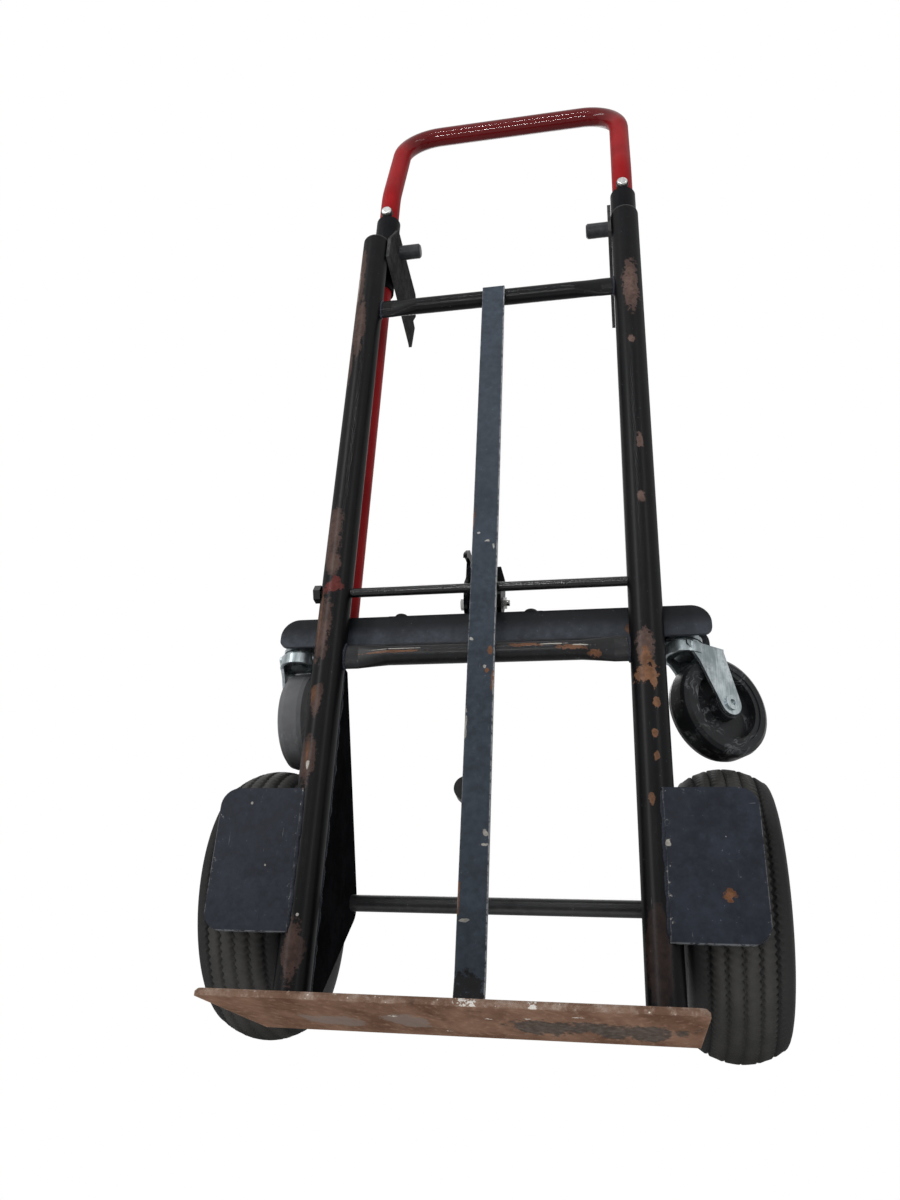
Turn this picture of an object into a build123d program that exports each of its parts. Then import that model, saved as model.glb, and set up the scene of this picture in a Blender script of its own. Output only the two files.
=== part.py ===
from build123d import *
import math
import os

# A convertible hand truck, standing on its toe plate and wheels.
# Millimetres, +Z up, load side towards -Y, origin on the underside of the toe plate between the uprights.

# Uprights and their caps
TUBE_OD = 31.75
TUBE_WALL = 2.4
TUBE_SPACING = 304.8
TUBE_BELOW_PIVOT = 28.5
CAP_T = 3.5
CAP_PLUG = 16.0

# Toe plate
PLATE_SIDE = 8.725
PLATE_T = 5.0
PLATE_FRONT = 151.5
PLATE_BACK = 20.0
PLATE_CORNER_R = 8.0
PLATE_BEVEL = 2.0

# Crossbars with flattened ends
BAR_OD = 19.0
BAR_WALL = 1.6
BAR_FLAT_H = 26.0
BAR_FLAT_T = 9.0
BAR_FLAT_LEN = 14.0
BAR_TAPER = 30.0
TOP_BAR_DOWN = 112.5
MID_BAR_BELOW_BEAM = 53.0

# Flat strap in front of the crossbars
STRAP_W = 25.4
STRAP_T = 5.0
STRAP_OVER = 4.0
STRAP_BEND_Z = 41.0
STRAP_KICK = 7.0
BUMPER_D = 22.0
BUMPER_L = 16.0
BUMPER_X = -10.0
BUMPER_Z = 200.0

# Rod that the latch hook falls over
ROD_D = 9.5
ROD_ABOVE_BEAM = 19.0
ROD_HEAD_AF = 16.0
ROD_HEAD_T = 7.0

# Wheels and axle
WHEEL_R = 127.0
TYRE_W = 84.0
TYRE_WALL = 6.0
TREAD_DROP = 12.0
GROOVE_W = 3.4
GROOVE_DEPTH = 4.0
GROOVE_PITCH = 12.5
GROOVES = 5
TYRE_GAP = 3.725
AXLE_D = 16.0
AXLE_STICK_OUT = 11.0
RIM_SEAT_R = 50.8
RIM_LIP_H = 9.2
RIM_W = 58.0
RIM_T = 2.5
HUB_OD = 42.0
HUB_L = 76.0
HUB_WALL = 3.5
BEARING_W = 11.0
BEARING_SHOULDER = 3.0
RIM_BOLT_D = 8.0
RIM_BOLT_CIRCLE_D = 68.0
RIM_BOLTS = 4
VALVE_D = 8.0
VALVE_L = 22.0
SPACER_OD = 24.0
WASHER_OD = 32.0
WASHER_T = 2.5
COTTER_D = 3.2
COTTER_L = 28.0
TUBE_RUBBER = 2.5

# Axle brackets and wheel guards
BRACKET_T = 5.0
BRACKET_INSET = 9.9
BRACKET_BELOW_BAR = 5.0
BRACKET_TOP_DEPTH = 25.0
BRACKET_EYE_R = 20.0
BRACKET_FOOT_DEPTH = 19.0
GUARD_T = 4.0
GUARD_IN = 5.0
GUARD_OUT = 82.5
GUARD_BELOW = 56.0
GUARD_ABOVE = 71.0
GUARD_CORNER_R = 17.0
GUARD_GAP = 2.875

# Pivoting sleeves and the arms that carry them
LEG_OD = 25.4
LEG_WALL = 2.0
LEG_GAP = 10.625
SLEEVE_OD = 31.0
SLEEVE_L = 125.0
PIVOT_Z = 941.0
SLEEVE_BELOW = 69.0
PIN_D = 18.5
PIN_L = 31.0
PIN_CHAMFER = 2.0
ARM_T = 4.0
ARM_REACH = 106.0
ARM_UP = 22.0
ARM_DOWN = 62.0
ARM_NOTCH_DOWN = 30.0
ARM_NOTCH_DEEP = 11.0
ARM_NOTCH_H = 21.0

# Handle loop
HANDLE_BEND_UP = 109.0
HANDLE_RISE = 172.0
HANDLE_TILT = 14.0
HANDLE_CORNER_R = 52.0
HANDLE_BEND_R = 110.0
STOP_PAD_R = 7.5
STOP_PAD_T = 3.0
STOP_HEAD_R = 6.5
STOP_HEAD_T = 3.5
STOP_SHANK_D = 6.0

# Caster beam, an upside-down channel
BEAM_END = 16.0
BEAM_GAP = 2.125
BEAM_H = 31.0
BEAM_WEB = 4.0
BEAM_FLANGE = 3.5
BEAM_END_R = 19.0
BEAM_FOOT_R = 8.0

# Latch on the beam
LATCH_LEFT = -26.0
LATCH_RIGHT = 12.0
LATCH_PLATE = 4.0
LATCH_Y = 39.0
LATCH_PIVOT_UP = 22.0
LATCH_BOLT_D = 6.35
HOOK_TALL = 60.0
HOOK_HEEL = 55.0
HOOK_EAR = 36.0
HOOK_TAPER = 4.7
HOOK_DEEP = 21.0
HOOK_FOOT = 15.0
HOOK_LIP = 6.0
MOUTH_OUT = 4.2
MOUTH_IN = 4.5
LATCH_BASE_T = 3.0
LATCH_BASE_LEFT = -102.0
LATCH_BASE_RIGHT = 54.0
BEAM_BOLT_INSET = 12.0
BEAM_BOLT_R = 7.0
BEAM_BOLT_D = 8.0

# Swivel casters
KING_OUT_LEFT = 44.6
KING_OUT_RIGHT = 34.6
CASTER_R = 49.0
CASTER_W = 28.0
CASTER_TREAD_T = 11.0
CASTER_HUB_R = 14.0
CASTER_WEB_T = 9.0
CASTER_AXLE_D = 10.0
RIVET_R = 7.0
RIVET_T = 2.0
RIVET_BORE_D = 6.0
CASTER_TRAIL = 35.0
CASTER_DIP = 2.0
CASTER_LEFT_TURN = -2.0
CASTER_RIGHT_TURN = -54.0
FORK_T = 3.0
FORK_GAP = 32.0
FORK_KNEE = 14.0
CROWN_T = 3.5
CROWN_SKIRT = 7.0
CROWN_WALL = 3.0
CROWN_CLEAR = 1.5
RACE_R = 16.5
RACE_T = 4.0
BOSS_L = 22.6
KINGPIN_D = 12.0
KING_NUT_T = 5.8
KING_NUT_AF = 17.0

# Clearances
RUN = 0.05
SLIDE = 0.3
SIDE = 0.4

# Derived places: across, then wheels, casters, beam, and what hangs on the pivot
TUBE_R = TUBE_OD / 2
TUBE_X = TUBE_SPACING / 2
PLATE_W = TUBE_SPACING + TUBE_OD + 2 * PLATE_SIDE
STRAP_BACK = -BAR_OD / 2
AXLE_Z = WHEEL_R
AXLE_Y = WHEEL_R - TUBE_R + GUARD_T + GUARD_GAP
WHEEL_X = TUBE_X + TUBE_R + TYRE_GAP + TYRE_W / 2
TRACK = WHEEL_X * 2
RIM_LIP_R = RIM_SEAT_R + RIM_LIP_H
GUARD_LOW = AXLE_Z - GUARD_BELOW
GUARD_HIGH = AXLE_Z + GUARD_ABOVE
LEG_R = LEG_OD / 2
SLEEVE_R = SLEEVE_OD / 2
LEG_Y = TUBE_R + LEG_GAP + SLEEVE_R
BRACKET_X = TUBE_X - BRACKET_INSET
BRACKET_OUT = BRACKET_X + BRACKET_T / 2
HUB_IN = WHEEL_X - HUB_L / 2
HUB_OUT = WHEEL_X + HUB_L / 2
KING_LEFT = -TUBE_X - KING_OUT_LEFT
KING_RIGHT = TUBE_X + KING_OUT_RIGHT
CASTER_AXLE_Z = WHEEL_R * 2 + CASTER_R - CASTER_DIP
CROWN_LOW = CASTER_AXLE_Z + CASTER_R + CROWN_CLEAR
CROWN_TOP = CROWN_LOW + CROWN_T
RACE_SPLIT = CROWN_TOP + RACE_T
BOSS_LOW = RACE_SPLIT + SIDE + RACE_T
BEAM_INSIDE = BOSS_LOW + BOSS_L
BEAM_TOP = BEAM_INSIDE + BEAM_WEB
BEAM_LOW = BEAM_TOP - BEAM_H
BEAM_L = (TUBE_X + max(KING_OUT_LEFT, KING_OUT_RIGHT) + BEAM_END) * 2
BEAM_D = (LEG_Y - TUBE_R - BEAM_GAP) * 2
LATCH_Z = BEAM_TOP + LATCH_PIVOT_UP
ROD_Z = BEAM_TOP + ROD_ABOVE_BEAM
MID_BAR_Z = BEAM_TOP - MID_BAR_BELOW_BEAM
BRACKET_TOP = MID_BAR_Z - BRACKET_BELOW_BAR
TUBE_TOP = PIVOT_Z - TUBE_BELOW_PIVOT
TOP_BAR_Z = TUBE_TOP - TOP_BAR_DOWN
SLEEVE_LOW = PIVOT_Z - SLEEVE_BELOW
SLEEVE_HIGH = SLEEVE_LOW + SLEEVE_L
ARM_OUTER = TUBE_X - max(SLEEVE_R + SIDE, TUBE_R)
HANDLE_BEND_Z = PIVOT_Z + HANDLE_BEND_UP
HANDLE_TOP = HANDLE_BEND_Z + HANDLE_RISE
HANDLE_TOP_Y = LEG_Y + HANDLE_RISE * math.tan(math.radians(HANDLE_TILT))


def rod_z(radius, low, high, x=0.0, y=0.0):
    """An upright cylinder from height low to height high."""
    return Pos(x, y, (low + high) / 2) * Cylinder(radius, high - low)


def rod_x(radius, start, end, y=0.0, z=0.0):
    """A cylinder along X from start to end."""
    return Pos((start + end) / 2, y, z) * Rot(0, 90, 0) * Cylinder(radius, end - start)


def rod_y(radius, start, end, x=0.0, z=0.0):
    """A cylinder along Y from start to end."""
    return Pos(x, (start + end) / 2, z) * Rot(90, 0, 0) * Cylinder(radius, end - start)


def hex_x(across, start, end, y=0.0, z=0.0):
    """A hexagonal prism along X, as wide across its flats as given."""
    face = Plane(origin=(start, y, z), x_dir=(0, 1, 0), z_dir=(1, 0, 0)) * RegularPolygon(across / math.sqrt(3), 6)
    return extrude(face, end - start)


def plate_yz(points, start, end):
    """A flat plate with an outline in Y and Z, thick along X from start to end."""
    face = make_face(Polyline(*[(start, y, z) for y, z in points], close=True))
    return extrude(face, end - start, dir=(1, 0, 0))


def plate_xz(points, start, end):
    """A flat plate with an outline in X and Z, thick along Y from start to end."""
    face = make_face(Polyline(*[(x, start, z) for x, z in points], close=True))
    return extrude(face, end - start, dir=(0, 1, 0))


def turned_x(points, x=0.0, y=0.0, z=0.0):
    """A solid of revolution about X through (y, z) from an outline of (x, radius)."""
    face = make_face(Polyline(*[(px, pr, 0) for px, pr in points], close=True))
    return Pos(x, y, z) * revolve(face, Axis.X, 360)


def group(*shapes):
    """Several separate solids as one node."""
    return Compound([solid for shape in shapes for solid in shape.solids()])


def other_side(shape):
    """The same piece on the left."""
    return mirror(shape, about=Plane.YZ)


def tangent_point(start, centre, radius, side):
    """Where the straight line from start touches a circle, on its left (1) or right (-1)."""
    dy = centre[0] - start[0]
    dz = centre[1] - start[1]
    far = math.hypot(dy, dz)
    turn = math.atan2(dz, dy) + side * math.asin(radius / far)
    run = math.sqrt(far * far - radius * radius)
    return (start[0] + run * math.cos(turn), start[1] + run * math.sin(turn))


# Uprights
ROD_HOLE_LEFT = rod_x(ROD_D / 2, -TUBE_X - TUBE_OD, 0, 0, ROD_Z)
ROD_HOLE_RIGHT = rod_x(ROD_D / 2, 0, TUBE_X, 0, ROD_Z)
upright = rod_z(TUBE_R, PLATE_T, TUBE_TOP, TUBE_X) - rod_z(TUBE_R - TUBE_WALL, PLATE_T, TUBE_TOP, TUBE_X)
upright_core = rod_z(TUBE_R, PLATE_T, TUBE_TOP, TUBE_X)
main_tube_right = upright - ROD_HOLE_RIGHT
main_tube_left = other_side(upright) - ROD_HOLE_LEFT

cap_top = rod_z(TUBE_R, TUBE_TOP, TUBE_TOP + CAP_T, TUBE_X)
cap_top = fillet(cap_top.edges().sort_by(Axis.Z)[-1:], CAP_T * 0.8)
cap = cap_top + rod_z(TUBE_R - TUBE_WALL, TUBE_TOP - CAP_PLUG, TUBE_TOP, TUBE_X)
tube_caps = group(cap, other_side(cap))

# Toe plate, with its front edge worn to a bevel
plate_depth = PLATE_FRONT + PLATE_BACK
toe_plate = Pos(0, (PLATE_BACK - PLATE_FRONT) / 2, PLATE_T / 2) * Box(PLATE_W, plate_depth, PLATE_T)
toe_plate = fillet(toe_plate.edges().filter_by(Axis.Z).sort_by(Axis.Y)[:2], PLATE_CORNER_R)
front_edge = toe_plate.edges().filter_by(Axis.X).sort_by(Axis.Y)[:2].sort_by(Axis.Z)[-1:]
toe_plate = chamfer(front_edge, PLATE_BEVEL)


# Crossbars, coped to the uprights
def flattened_bar(grow):
    """The crossbar's body about X, grown outwards by grow."""
    end = TUBE_X
    flat = TUBE_X - TUBE_R - BAR_FLAT_LEN
    round_end = flat - BAR_TAPER
    radius = BAR_OD / 2 + grow
    half_t = BAR_FLAT_T / 2 + grow
    half_h = BAR_FLAT_H / 2 + grow
    body = rod_x(radius, -round_end, round_end)
    taper = loft([Plane.YZ.offset(round_end) * Circle(radius), Plane.YZ.offset(flat) * Ellipse(half_t, half_h)], ruled=True)
    tip = extrude(Plane.YZ.offset(flat) * Ellipse(half_t, half_h), end - flat)
    side = taper + tip
    return body + side + other_side(side)


bar_tube = flattened_bar(0) - flattened_bar(-BAR_WALL)
uprights_solid = upright_core + other_side(upright_core)
top_crossbar = Pos(0, 0, TOP_BAR_Z) * bar_tube - uprights_solid
mid_crossbar = Pos(0, 0, MID_BAR_Z) * bar_tube - uprights_solid

# Centre strap, kicked forward at its foot
strap_front = STRAP_BACK - STRAP_T
strap_outline = [
    (STRAP_BACK, TOP_BAR_Z + STRAP_OVER),
    (strap_front, TOP_BAR_Z + STRAP_OVER),
    (strap_front, STRAP_BEND_Z),
    (strap_front - STRAP_KICK, PLATE_T),
    (STRAP_BACK - STRAP_KICK, PLATE_T),
    (STRAP_BACK, STRAP_BEND_Z),
]
centre_strap = plate_yz(strap_outline, -STRAP_W / 2, STRAP_W / 2)
strap_bumper = rod_y(BUMPER_D / 2, STRAP_BACK, STRAP_BACK + BUMPER_L, BUMPER_X, BUMPER_Z)
strap_bumper = fillet(strap_bumper.edges().sort_by(Axis.Y)[-1:], BUMPER_D * 0.14)

# Latch rod, with its head on the left
latch_rod = rod_x(ROD_D / 2, -TUBE_X - TUBE_R, TUBE_X, 0, ROD_Z)
latch_rod += hex_x(ROD_HEAD_AF, -TUBE_X - TUBE_R - ROD_HEAD_T, -TUBE_X - TUBE_R, 0, ROD_Z)

# Axle brackets, hulls round the axle
eye = (AXLE_Y, AXLE_Z)
bracket_top = (BRACKET_TOP_DEPTH, BRACKET_TOP)
bracket_foot = (BRACKET_FOOT_DEPTH, PLATE_T)
upper_touch = tangent_point(bracket_top, eye, BRACKET_EYE_R, 1)
lower_touch = tangent_point(bracket_foot, eye, BRACKET_EYE_R, -1)
bracket_outline = [(0, BRACKET_TOP), bracket_top, upper_touch, eye, lower_touch, bracket_foot, (0, PLATE_T)]
bracket = plate_yz(bracket_outline, BRACKET_X - BRACKET_T / 2, BRACKET_OUT)
bracket += rod_x(BRACKET_EYE_R, BRACKET_X - BRACKET_T / 2, BRACKET_OUT, AXLE_Y, AXLE_Z)
bracket -= upright_core
bracket -= rod_x(AXLE_D / 2, 0, TRACK, AXLE_Y, AXLE_Z)
axle_bracket_right = bracket.solids().sort_by(SortBy.VOLUME)[-1]
axle_bracket_left = other_side(axle_bracket_right)

# Axle and what holds the wheels on it
washer_in = HUB_OUT + SIDE
washer_out = washer_in + WASHER_T
cotter_x = washer_out + COTTER_D / 2
axle_half = washer_out + AXLE_STICK_OUT
cotter_hole = rod_z(COTTER_D / 2, AXLE_Z - COTTER_L / 2, AXLE_Z + COTTER_L / 2, cotter_x, AXLE_Y)
axle = rod_x(AXLE_D / 2, -axle_half, axle_half, AXLE_Y, AXLE_Z)
axle = chamfer(axle.edges().filter_by(GeomType.CIRCLE), AXLE_D * 0.08)
axle = axle - cotter_hole - other_side(cotter_hole)
spacer = rod_x(SPACER_OD / 2, BRACKET_OUT, HUB_IN - SIDE, AXLE_Y, AXLE_Z)
spacer -= rod_x(AXLE_D / 2, BRACKET_OUT, HUB_IN, AXLE_Y, AXLE_Z)
axle_spacers = group(spacer, other_side(spacer))
washer = rod_x(WASHER_OD / 2, washer_in, washer_out, AXLE_Y, AXLE_Z)
washer -= rod_x(AXLE_D / 2, washer_in, washer_out, AXLE_Y, AXLE_Z)
axle_washers = group(washer, other_side(washer))
cotter = rod_z(COTTER_D / 2, AXLE_Z - COTTER_L / 2, AXLE_Z + COTTER_L / 2, cotter_x, AXLE_Y)
cotter_pins = group(cotter, other_side(cotter))

# Wheel guards, welded to the front of the uprights
guard_outline = [
    (TUBE_X + GUARD_IN, GUARD_LOW),
    (TUBE_X + GUARD_OUT, GUARD_LOW),
    (TUBE_X + GUARD_OUT, GUARD_HIGH),
    (TUBE_X + GUARD_IN, GUARD_HIGH),
]
guard_plate = plate_xz(guard_outline, -TUBE_R, -TUBE_R + GUARD_T)
guard = fillet(guard_plate.edges().filter_by(Axis.Y).sort_by(Axis.X)[-2:], GUARD_CORNER_R) - upright_core
wheel_guard_right = guard.solids().sort_by(SortBy.VOLUME)[-1]
wheel_guard_left = other_side(wheel_guard_right)

# Arms that carry the sleeves' pivots
arm_rear = LEG_Y + ARM_REACH
arm_top = PIVOT_Z + ARM_UP
arm_low = PIVOT_Z - ARM_DOWN
arm_outline = [
    (-TUBE_R * 0.4, arm_low + 4),
    (arm_rear - 14, arm_low - 8),
    (arm_rear - 8, arm_low - 10),
    (arm_rear, PIVOT_Z - ARM_NOTCH_DOWN),
    (arm_rear - ARM_NOTCH_DEEP, PIVOT_Z - ARM_NOTCH_DOWN + 3),
    (arm_rear, PIVOT_Z - ARM_NOTCH_DOWN + ARM_NOTCH_H),
    (arm_rear - 4, arm_top - 8),
    (arm_rear - 12, arm_top),
    (LEG_Y - PIN_D, arm_top),
    (-TUBE_R * 0.4, TUBE_TOP + 2.5),
]
arm = plate_yz(arm_outline, ARM_OUTER - ARM_T, ARM_OUTER)
arm_plate_right = arm - rod_x(PIN_D / 2 + RUN, 0, TUBE_X, LEG_Y, PIVOT_Z)
arm_plate_left = other_side(arm_plate_right)

# Sleeves and their pivot pins
sleeve_solid = rod_z(SLEEVE_R, SLEEVE_LOW, SLEEVE_HIGH, TUBE_X, LEG_Y)
sleeve_right = sleeve_solid - rod_z(LEG_R + SLIDE, SLEEVE_LOW, SLEEVE_HIGH, TUBE_X, LEG_Y)
sleeve_left = other_side(sleeve_right)
pin_inner = ARM_OUTER - PIN_L
pin = rod_x(PIN_D / 2, pin_inner, TUBE_X, LEG_Y, PIVOT_Z)
pin = chamfer(pin.edges().filter_by(GeomType.CIRCLE).sort_by(Axis.X)[:1], PIN_CHAMFER)
pivot_pin_right = (pin - sleeve_solid).solids().sort_by(SortBy.VOLUME)[-1]
pivot_pin_left = other_side(pivot_pin_right)

# Handle loop, one bent tube
loop_path = FilletPolyline(
    (-TUBE_X, LEG_Y, BEAM_TOP),
    (-TUBE_X, LEG_Y, HANDLE_BEND_Z),
    (-TUBE_X, HANDLE_TOP_Y, HANDLE_TOP),
    (TUBE_X, HANDLE_TOP_Y, HANDLE_TOP),
    (TUBE_X, LEG_Y, HANDLE_BEND_Z),
    (TUBE_X, LEG_Y, BEAM_TOP),
    radius=[HANDLE_BEND_R, HANDLE_CORNER_R, HANDLE_CORNER_R, HANDLE_BEND_R],
)
loop_start = Plane(origin=(-TUBE_X, LEG_Y, BEAM_TOP), z_dir=(0, 0, 1))
loop_outer = sweep(loop_start * Circle(LEG_R), path=loop_path)
loop_inner = sweep(loop_start * Circle(LEG_R - LEG_WALL), path=loop_path)
handle_loop = loop_outer - loop_inner

# Stop screws on the legs, just above the sleeves
stop_z = SLEEVE_HIGH + STOP_PAD_R + SIDE
leg_front = LEG_Y - LEG_R
pad_front = leg_front - STOP_PAD_T
shank_end = leg_front + LEG_WALL * 3
stop_shank = rod_y(STOP_SHANK_D / 2, pad_front, shank_end, TUBE_X, stop_z)
handle_loop = handle_loop - stop_shank - other_side(stop_shank)
stop_pad = rod_y(STOP_PAD_R, pad_front, LEG_Y, TUBE_X, stop_z)
stop_pad = stop_pad - rod_z(LEG_R, stop_z - BEAM_H, stop_z + BEAM_H, TUBE_X, LEG_Y) - stop_shank
stop_spacers = group(stop_pad, other_side(stop_pad))
stop_head = rod_y(STOP_HEAD_R, pad_front - STOP_HEAD_T, pad_front, TUBE_X, stop_z)
stop_head = fillet(stop_head.edges().sort_by(Axis.Y)[:1], STOP_HEAD_T * 0.6)
stop_screw = stop_head + stop_shank
stop_screws = group(stop_screw, other_side(stop_screw))

# Caster beam
beam = Pos(0, LEG_Y, BEAM_TOP - BEAM_H / 2) * Box(BEAM_L, BEAM_D, BEAM_H)
beam = fillet(beam.edges().filter_by(Axis.Y).sort_by(Axis.Z)[-2:], BEAM_END_R)
beam = fillet(beam.edges().filter_by(Axis.Y).sort_by(Axis.Z)[:2], BEAM_FOOT_R)
beam -= Pos(0, LEG_Y, BEAM_INSIDE - BEAM_H / 2) * Box(BEAM_L * 2, BEAM_D - 2 * BEAM_FLANGE, BEAM_H)
beam_bolt_y = LEG_Y - BEAM_D / 2 + BEAM_BOLT_INSET
beam_bolt_xs = (LATCH_BASE_LEFT + BEAM_BOLT_INSET, LATCH_BASE_RIGHT - BEAM_BOLT_INSET)
base_top = BEAM_TOP + LATCH_BASE_T
bolt_low = BEAM_INSIDE - BEAM_BOLT_D
bolt_holes = [rod_z(BEAM_BOLT_D / 2, bolt_low, base_top, x, beam_bolt_y) for x in beam_bolt_xs]
caster_beam = beam - bolt_holes


def beam_bolt(x):
    """A domed bolt through the latch base and the beam, with its nut inside the channel."""
    head = rod_z(BEAM_BOLT_R, base_top, base_top + BEAM_BOLT_R * 0.6, x, beam_bolt_y)
    head = fillet(head.edges().sort_by(Axis.Z)[-1:], BEAM_BOLT_R * 0.45)
    shank = rod_z(BEAM_BOLT_D / 2, bolt_low, base_top, x, beam_bolt_y)
    nut = rod_z(BEAM_BOLT_D * 0.8, BEAM_INSIDE - BEAM_BOLT_D * 0.8, BEAM_INSIDE, x, beam_bolt_y)
    return head + shank + nut


beam_bolts = group(*[beam_bolt(x) for x in beam_bolt_xs])

# Latch: fixed ears on a base strip, and a hook of a tall left cheek and a low right one, joined at the back
ear_gap = LATCH_PLATE + SIDE
ear_up = LATCH_PIVOT_UP + LATCH_BOLT_D * 1.25
base_front = LEG_Y - BEAM_D / 2 + 5
base_back = LEG_Y + BEAM_D / 2 - 5
base_mid_y = (base_front + base_back) / 2
base_mid_x = (LATCH_BASE_LEFT + LATCH_BASE_RIGHT) / 2
base_long = LATCH_BASE_RIGHT - LATCH_BASE_LEFT
latch_base = Pos(base_mid_x, base_mid_y, BEAM_TOP + LATCH_BASE_T / 2) * Box(base_long, base_back - base_front, LATCH_BASE_T)
ear_outline = [
    (LATCH_Y - LATCH_BOLT_D, base_top),
    (LATCH_Y + LATCH_BOLT_D, base_top),
    (LATCH_Y + LATCH_BOLT_D, BEAM_TOP + ear_up - 3),
    (LATCH_Y + LATCH_BOLT_D - 3, BEAM_TOP + ear_up),
    (LATCH_Y - LATCH_BOLT_D + 3, BEAM_TOP + ear_up),
    (LATCH_Y - LATCH_BOLT_D, BEAM_TOP + ear_up - 3),
]
left_ear_x = LATCH_LEFT + ear_gap
right_ear_x = LATCH_RIGHT - ear_gap
ears = plate_yz(ear_outline, left_ear_x, left_ear_x + LATCH_PLATE)
ears += plate_yz(ear_outline, right_ear_x - LATCH_PLATE, right_ear_x)
latch_bolt_hole = rod_x(LATCH_BOLT_D / 2, LATCH_LEFT * 2, LATCH_RIGHT * 2, LATCH_Y, LATCH_Z)
latch_lugs = latch_base + ears - latch_bolt_hole - bolt_holes

# The hook stands open and falls forward over the rod; its mouth follows the rod's path about the pivot
rod_reach = math.hypot(LATCH_Y, LATCH_Z - ROD_Z)
mouth_outer = rod_reach + ROD_D / 2 + MOUTH_OUT
mouth_inner = rod_reach - ROD_D / 2 - MOUTH_IN


def hook_point(radius, degrees):
    """A point of the hook about its pivot, with the angle measured up from straight ahead."""
    turn = math.radians(degrees)
    return (LATCH_Y - radius * math.cos(turn), LATCH_Z + radius * math.sin(turn))


cheek_outline = [
    (LATCH_Y - 2, LATCH_Z - HOOK_FOOT),
    (LATCH_Y + LATCH_BOLT_D, LATCH_Z - HOOK_FOOT * 0.8),
    (LATCH_Y + HOOK_DEEP, LATCH_Z + LATCH_BOLT_D),
    (LATCH_Y + HOOK_DEEP, LATCH_Z + HOOK_HEEL),
    (LATCH_Y + HOOK_DEEP * 0.62, LATCH_Z + HOOK_TALL),
    hook_point(mouth_outer + HOOK_LIP * 2, 80),
    hook_point(mouth_outer + HOOK_LIP, 65),
    hook_point(mouth_outer + HOOK_LIP * 0.6, 59),
    hook_point(mouth_outer, 57),
    hook_point(mouth_outer + 0.6, 66),
    hook_point(mouth_outer + 0.4, 75),
    hook_point(mouth_outer, 84),
    hook_point(mouth_inner, 80),
    hook_point(mouth_inner * 0.78, 52),
    hook_point(HOOK_FOOT, 10),
    hook_point(HOOK_FOOT, -45),
]
hook = plate_yz(cheek_outline, LATCH_LEFT, LATCH_LEFT + LATCH_PLATE)
low_cheek_outline = [
    (LATCH_Y - 2, LATCH_Z - HOOK_FOOT),
    (LATCH_Y + LATCH_BOLT_D, LATCH_Z - HOOK_FOOT * 0.8),
    (LATCH_Y + HOOK_DEEP, LATCH_Z + LATCH_BOLT_D),
    (LATCH_Y + HOOK_DEEP, LATCH_Z + HOOK_EAR),
    (LATCH_Y + HOOK_DEEP - LATCH_PLATE, LATCH_Z + HOOK_EAR),
    hook_point(HOOK_FOOT, 60),
    hook_point(HOOK_FOOT, 10),
    hook_point(HOOK_FOOT, -45),
]
hook += plate_yz(low_cheek_outline, LATCH_RIGHT - LATCH_PLATE, LATCH_RIGHT)
back_low = LATCH_Z + HOOK_DEEP - LATCH_PLATE
back_outline = [
    (LATCH_LEFT, back_low),
    (LATCH_RIGHT, back_low),
    (LATCH_RIGHT, LATCH_Z + HOOK_EAR),
    (LATCH_RIGHT - HOOK_TAPER, LATCH_Z + HOOK_HEEL - 1),
    (LATCH_LEFT, LATCH_Z + HOOK_HEEL - 1),
]
hook += plate_xz(back_outline, LATCH_Y + HOOK_DEEP - LATCH_PLATE, LATCH_Y + HOOK_DEEP)
latch_hook = hook - rod_x(LATCH_BOLT_D / 2 + RUN, LATCH_LEFT * 2, LATCH_RIGHT * 2, LATCH_Y, LATCH_Z)
bolt_af = LATCH_BOLT_D * 1.6
bolt_head_t = LATCH_BOLT_D * 0.65
bolt_left = LATCH_LEFT - SIDE
bolt_right = LATCH_RIGHT + SIDE
latch_pivot_bolt = rod_x(LATCH_BOLT_D / 2, bolt_left, bolt_right + bolt_head_t + 3, LATCH_Y, LATCH_Z)
latch_pivot_bolt += hex_x(bolt_af, bolt_left - bolt_head_t, bolt_left, LATCH_Y, LATCH_Z)
latch_pivot_nut = hex_x(bolt_af, bolt_right, bolt_right + bolt_head_t, LATCH_Y, LATCH_Z)
latch_pivot_nut -= rod_x(LATCH_BOLT_D / 2, bolt_right, bolt_right + bolt_head_t, LATCH_Y, LATCH_Z)


# Main wheels, made on the right and copied to the left
def tyre_shell(outer, half, bead, seat, steps):
    """A tyre's half outline of (x, radius) from its bead to the middle of its tread."""
    shoulder = half * 0.84
    waist = seat + (outer - seat) * 0.56
    points = [(bead, seat), (bead, seat + (outer - seat) * 0.14)]
    for step in range(1, steps + 1):
        turn = step / steps * math.pi / 2
        low = points[1][1]
        points.append((bead + (half - bead) * math.sin(turn), low + (waist - low) * (1 - math.cos(turn))))
    drop = outer - TREAD_DROP
    for step in range(1, steps + 1):
        turn = step / steps * math.pi / 2
        points.append((shoulder + (half - shoulder) * math.cos(turn), waist + (drop - waist) * math.sin(turn)))
    for step in range(1, steps):
        across = 1 - step / steps
        points.append((shoulder * across, outer - TREAD_DROP * across * across))
    return points


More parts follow.
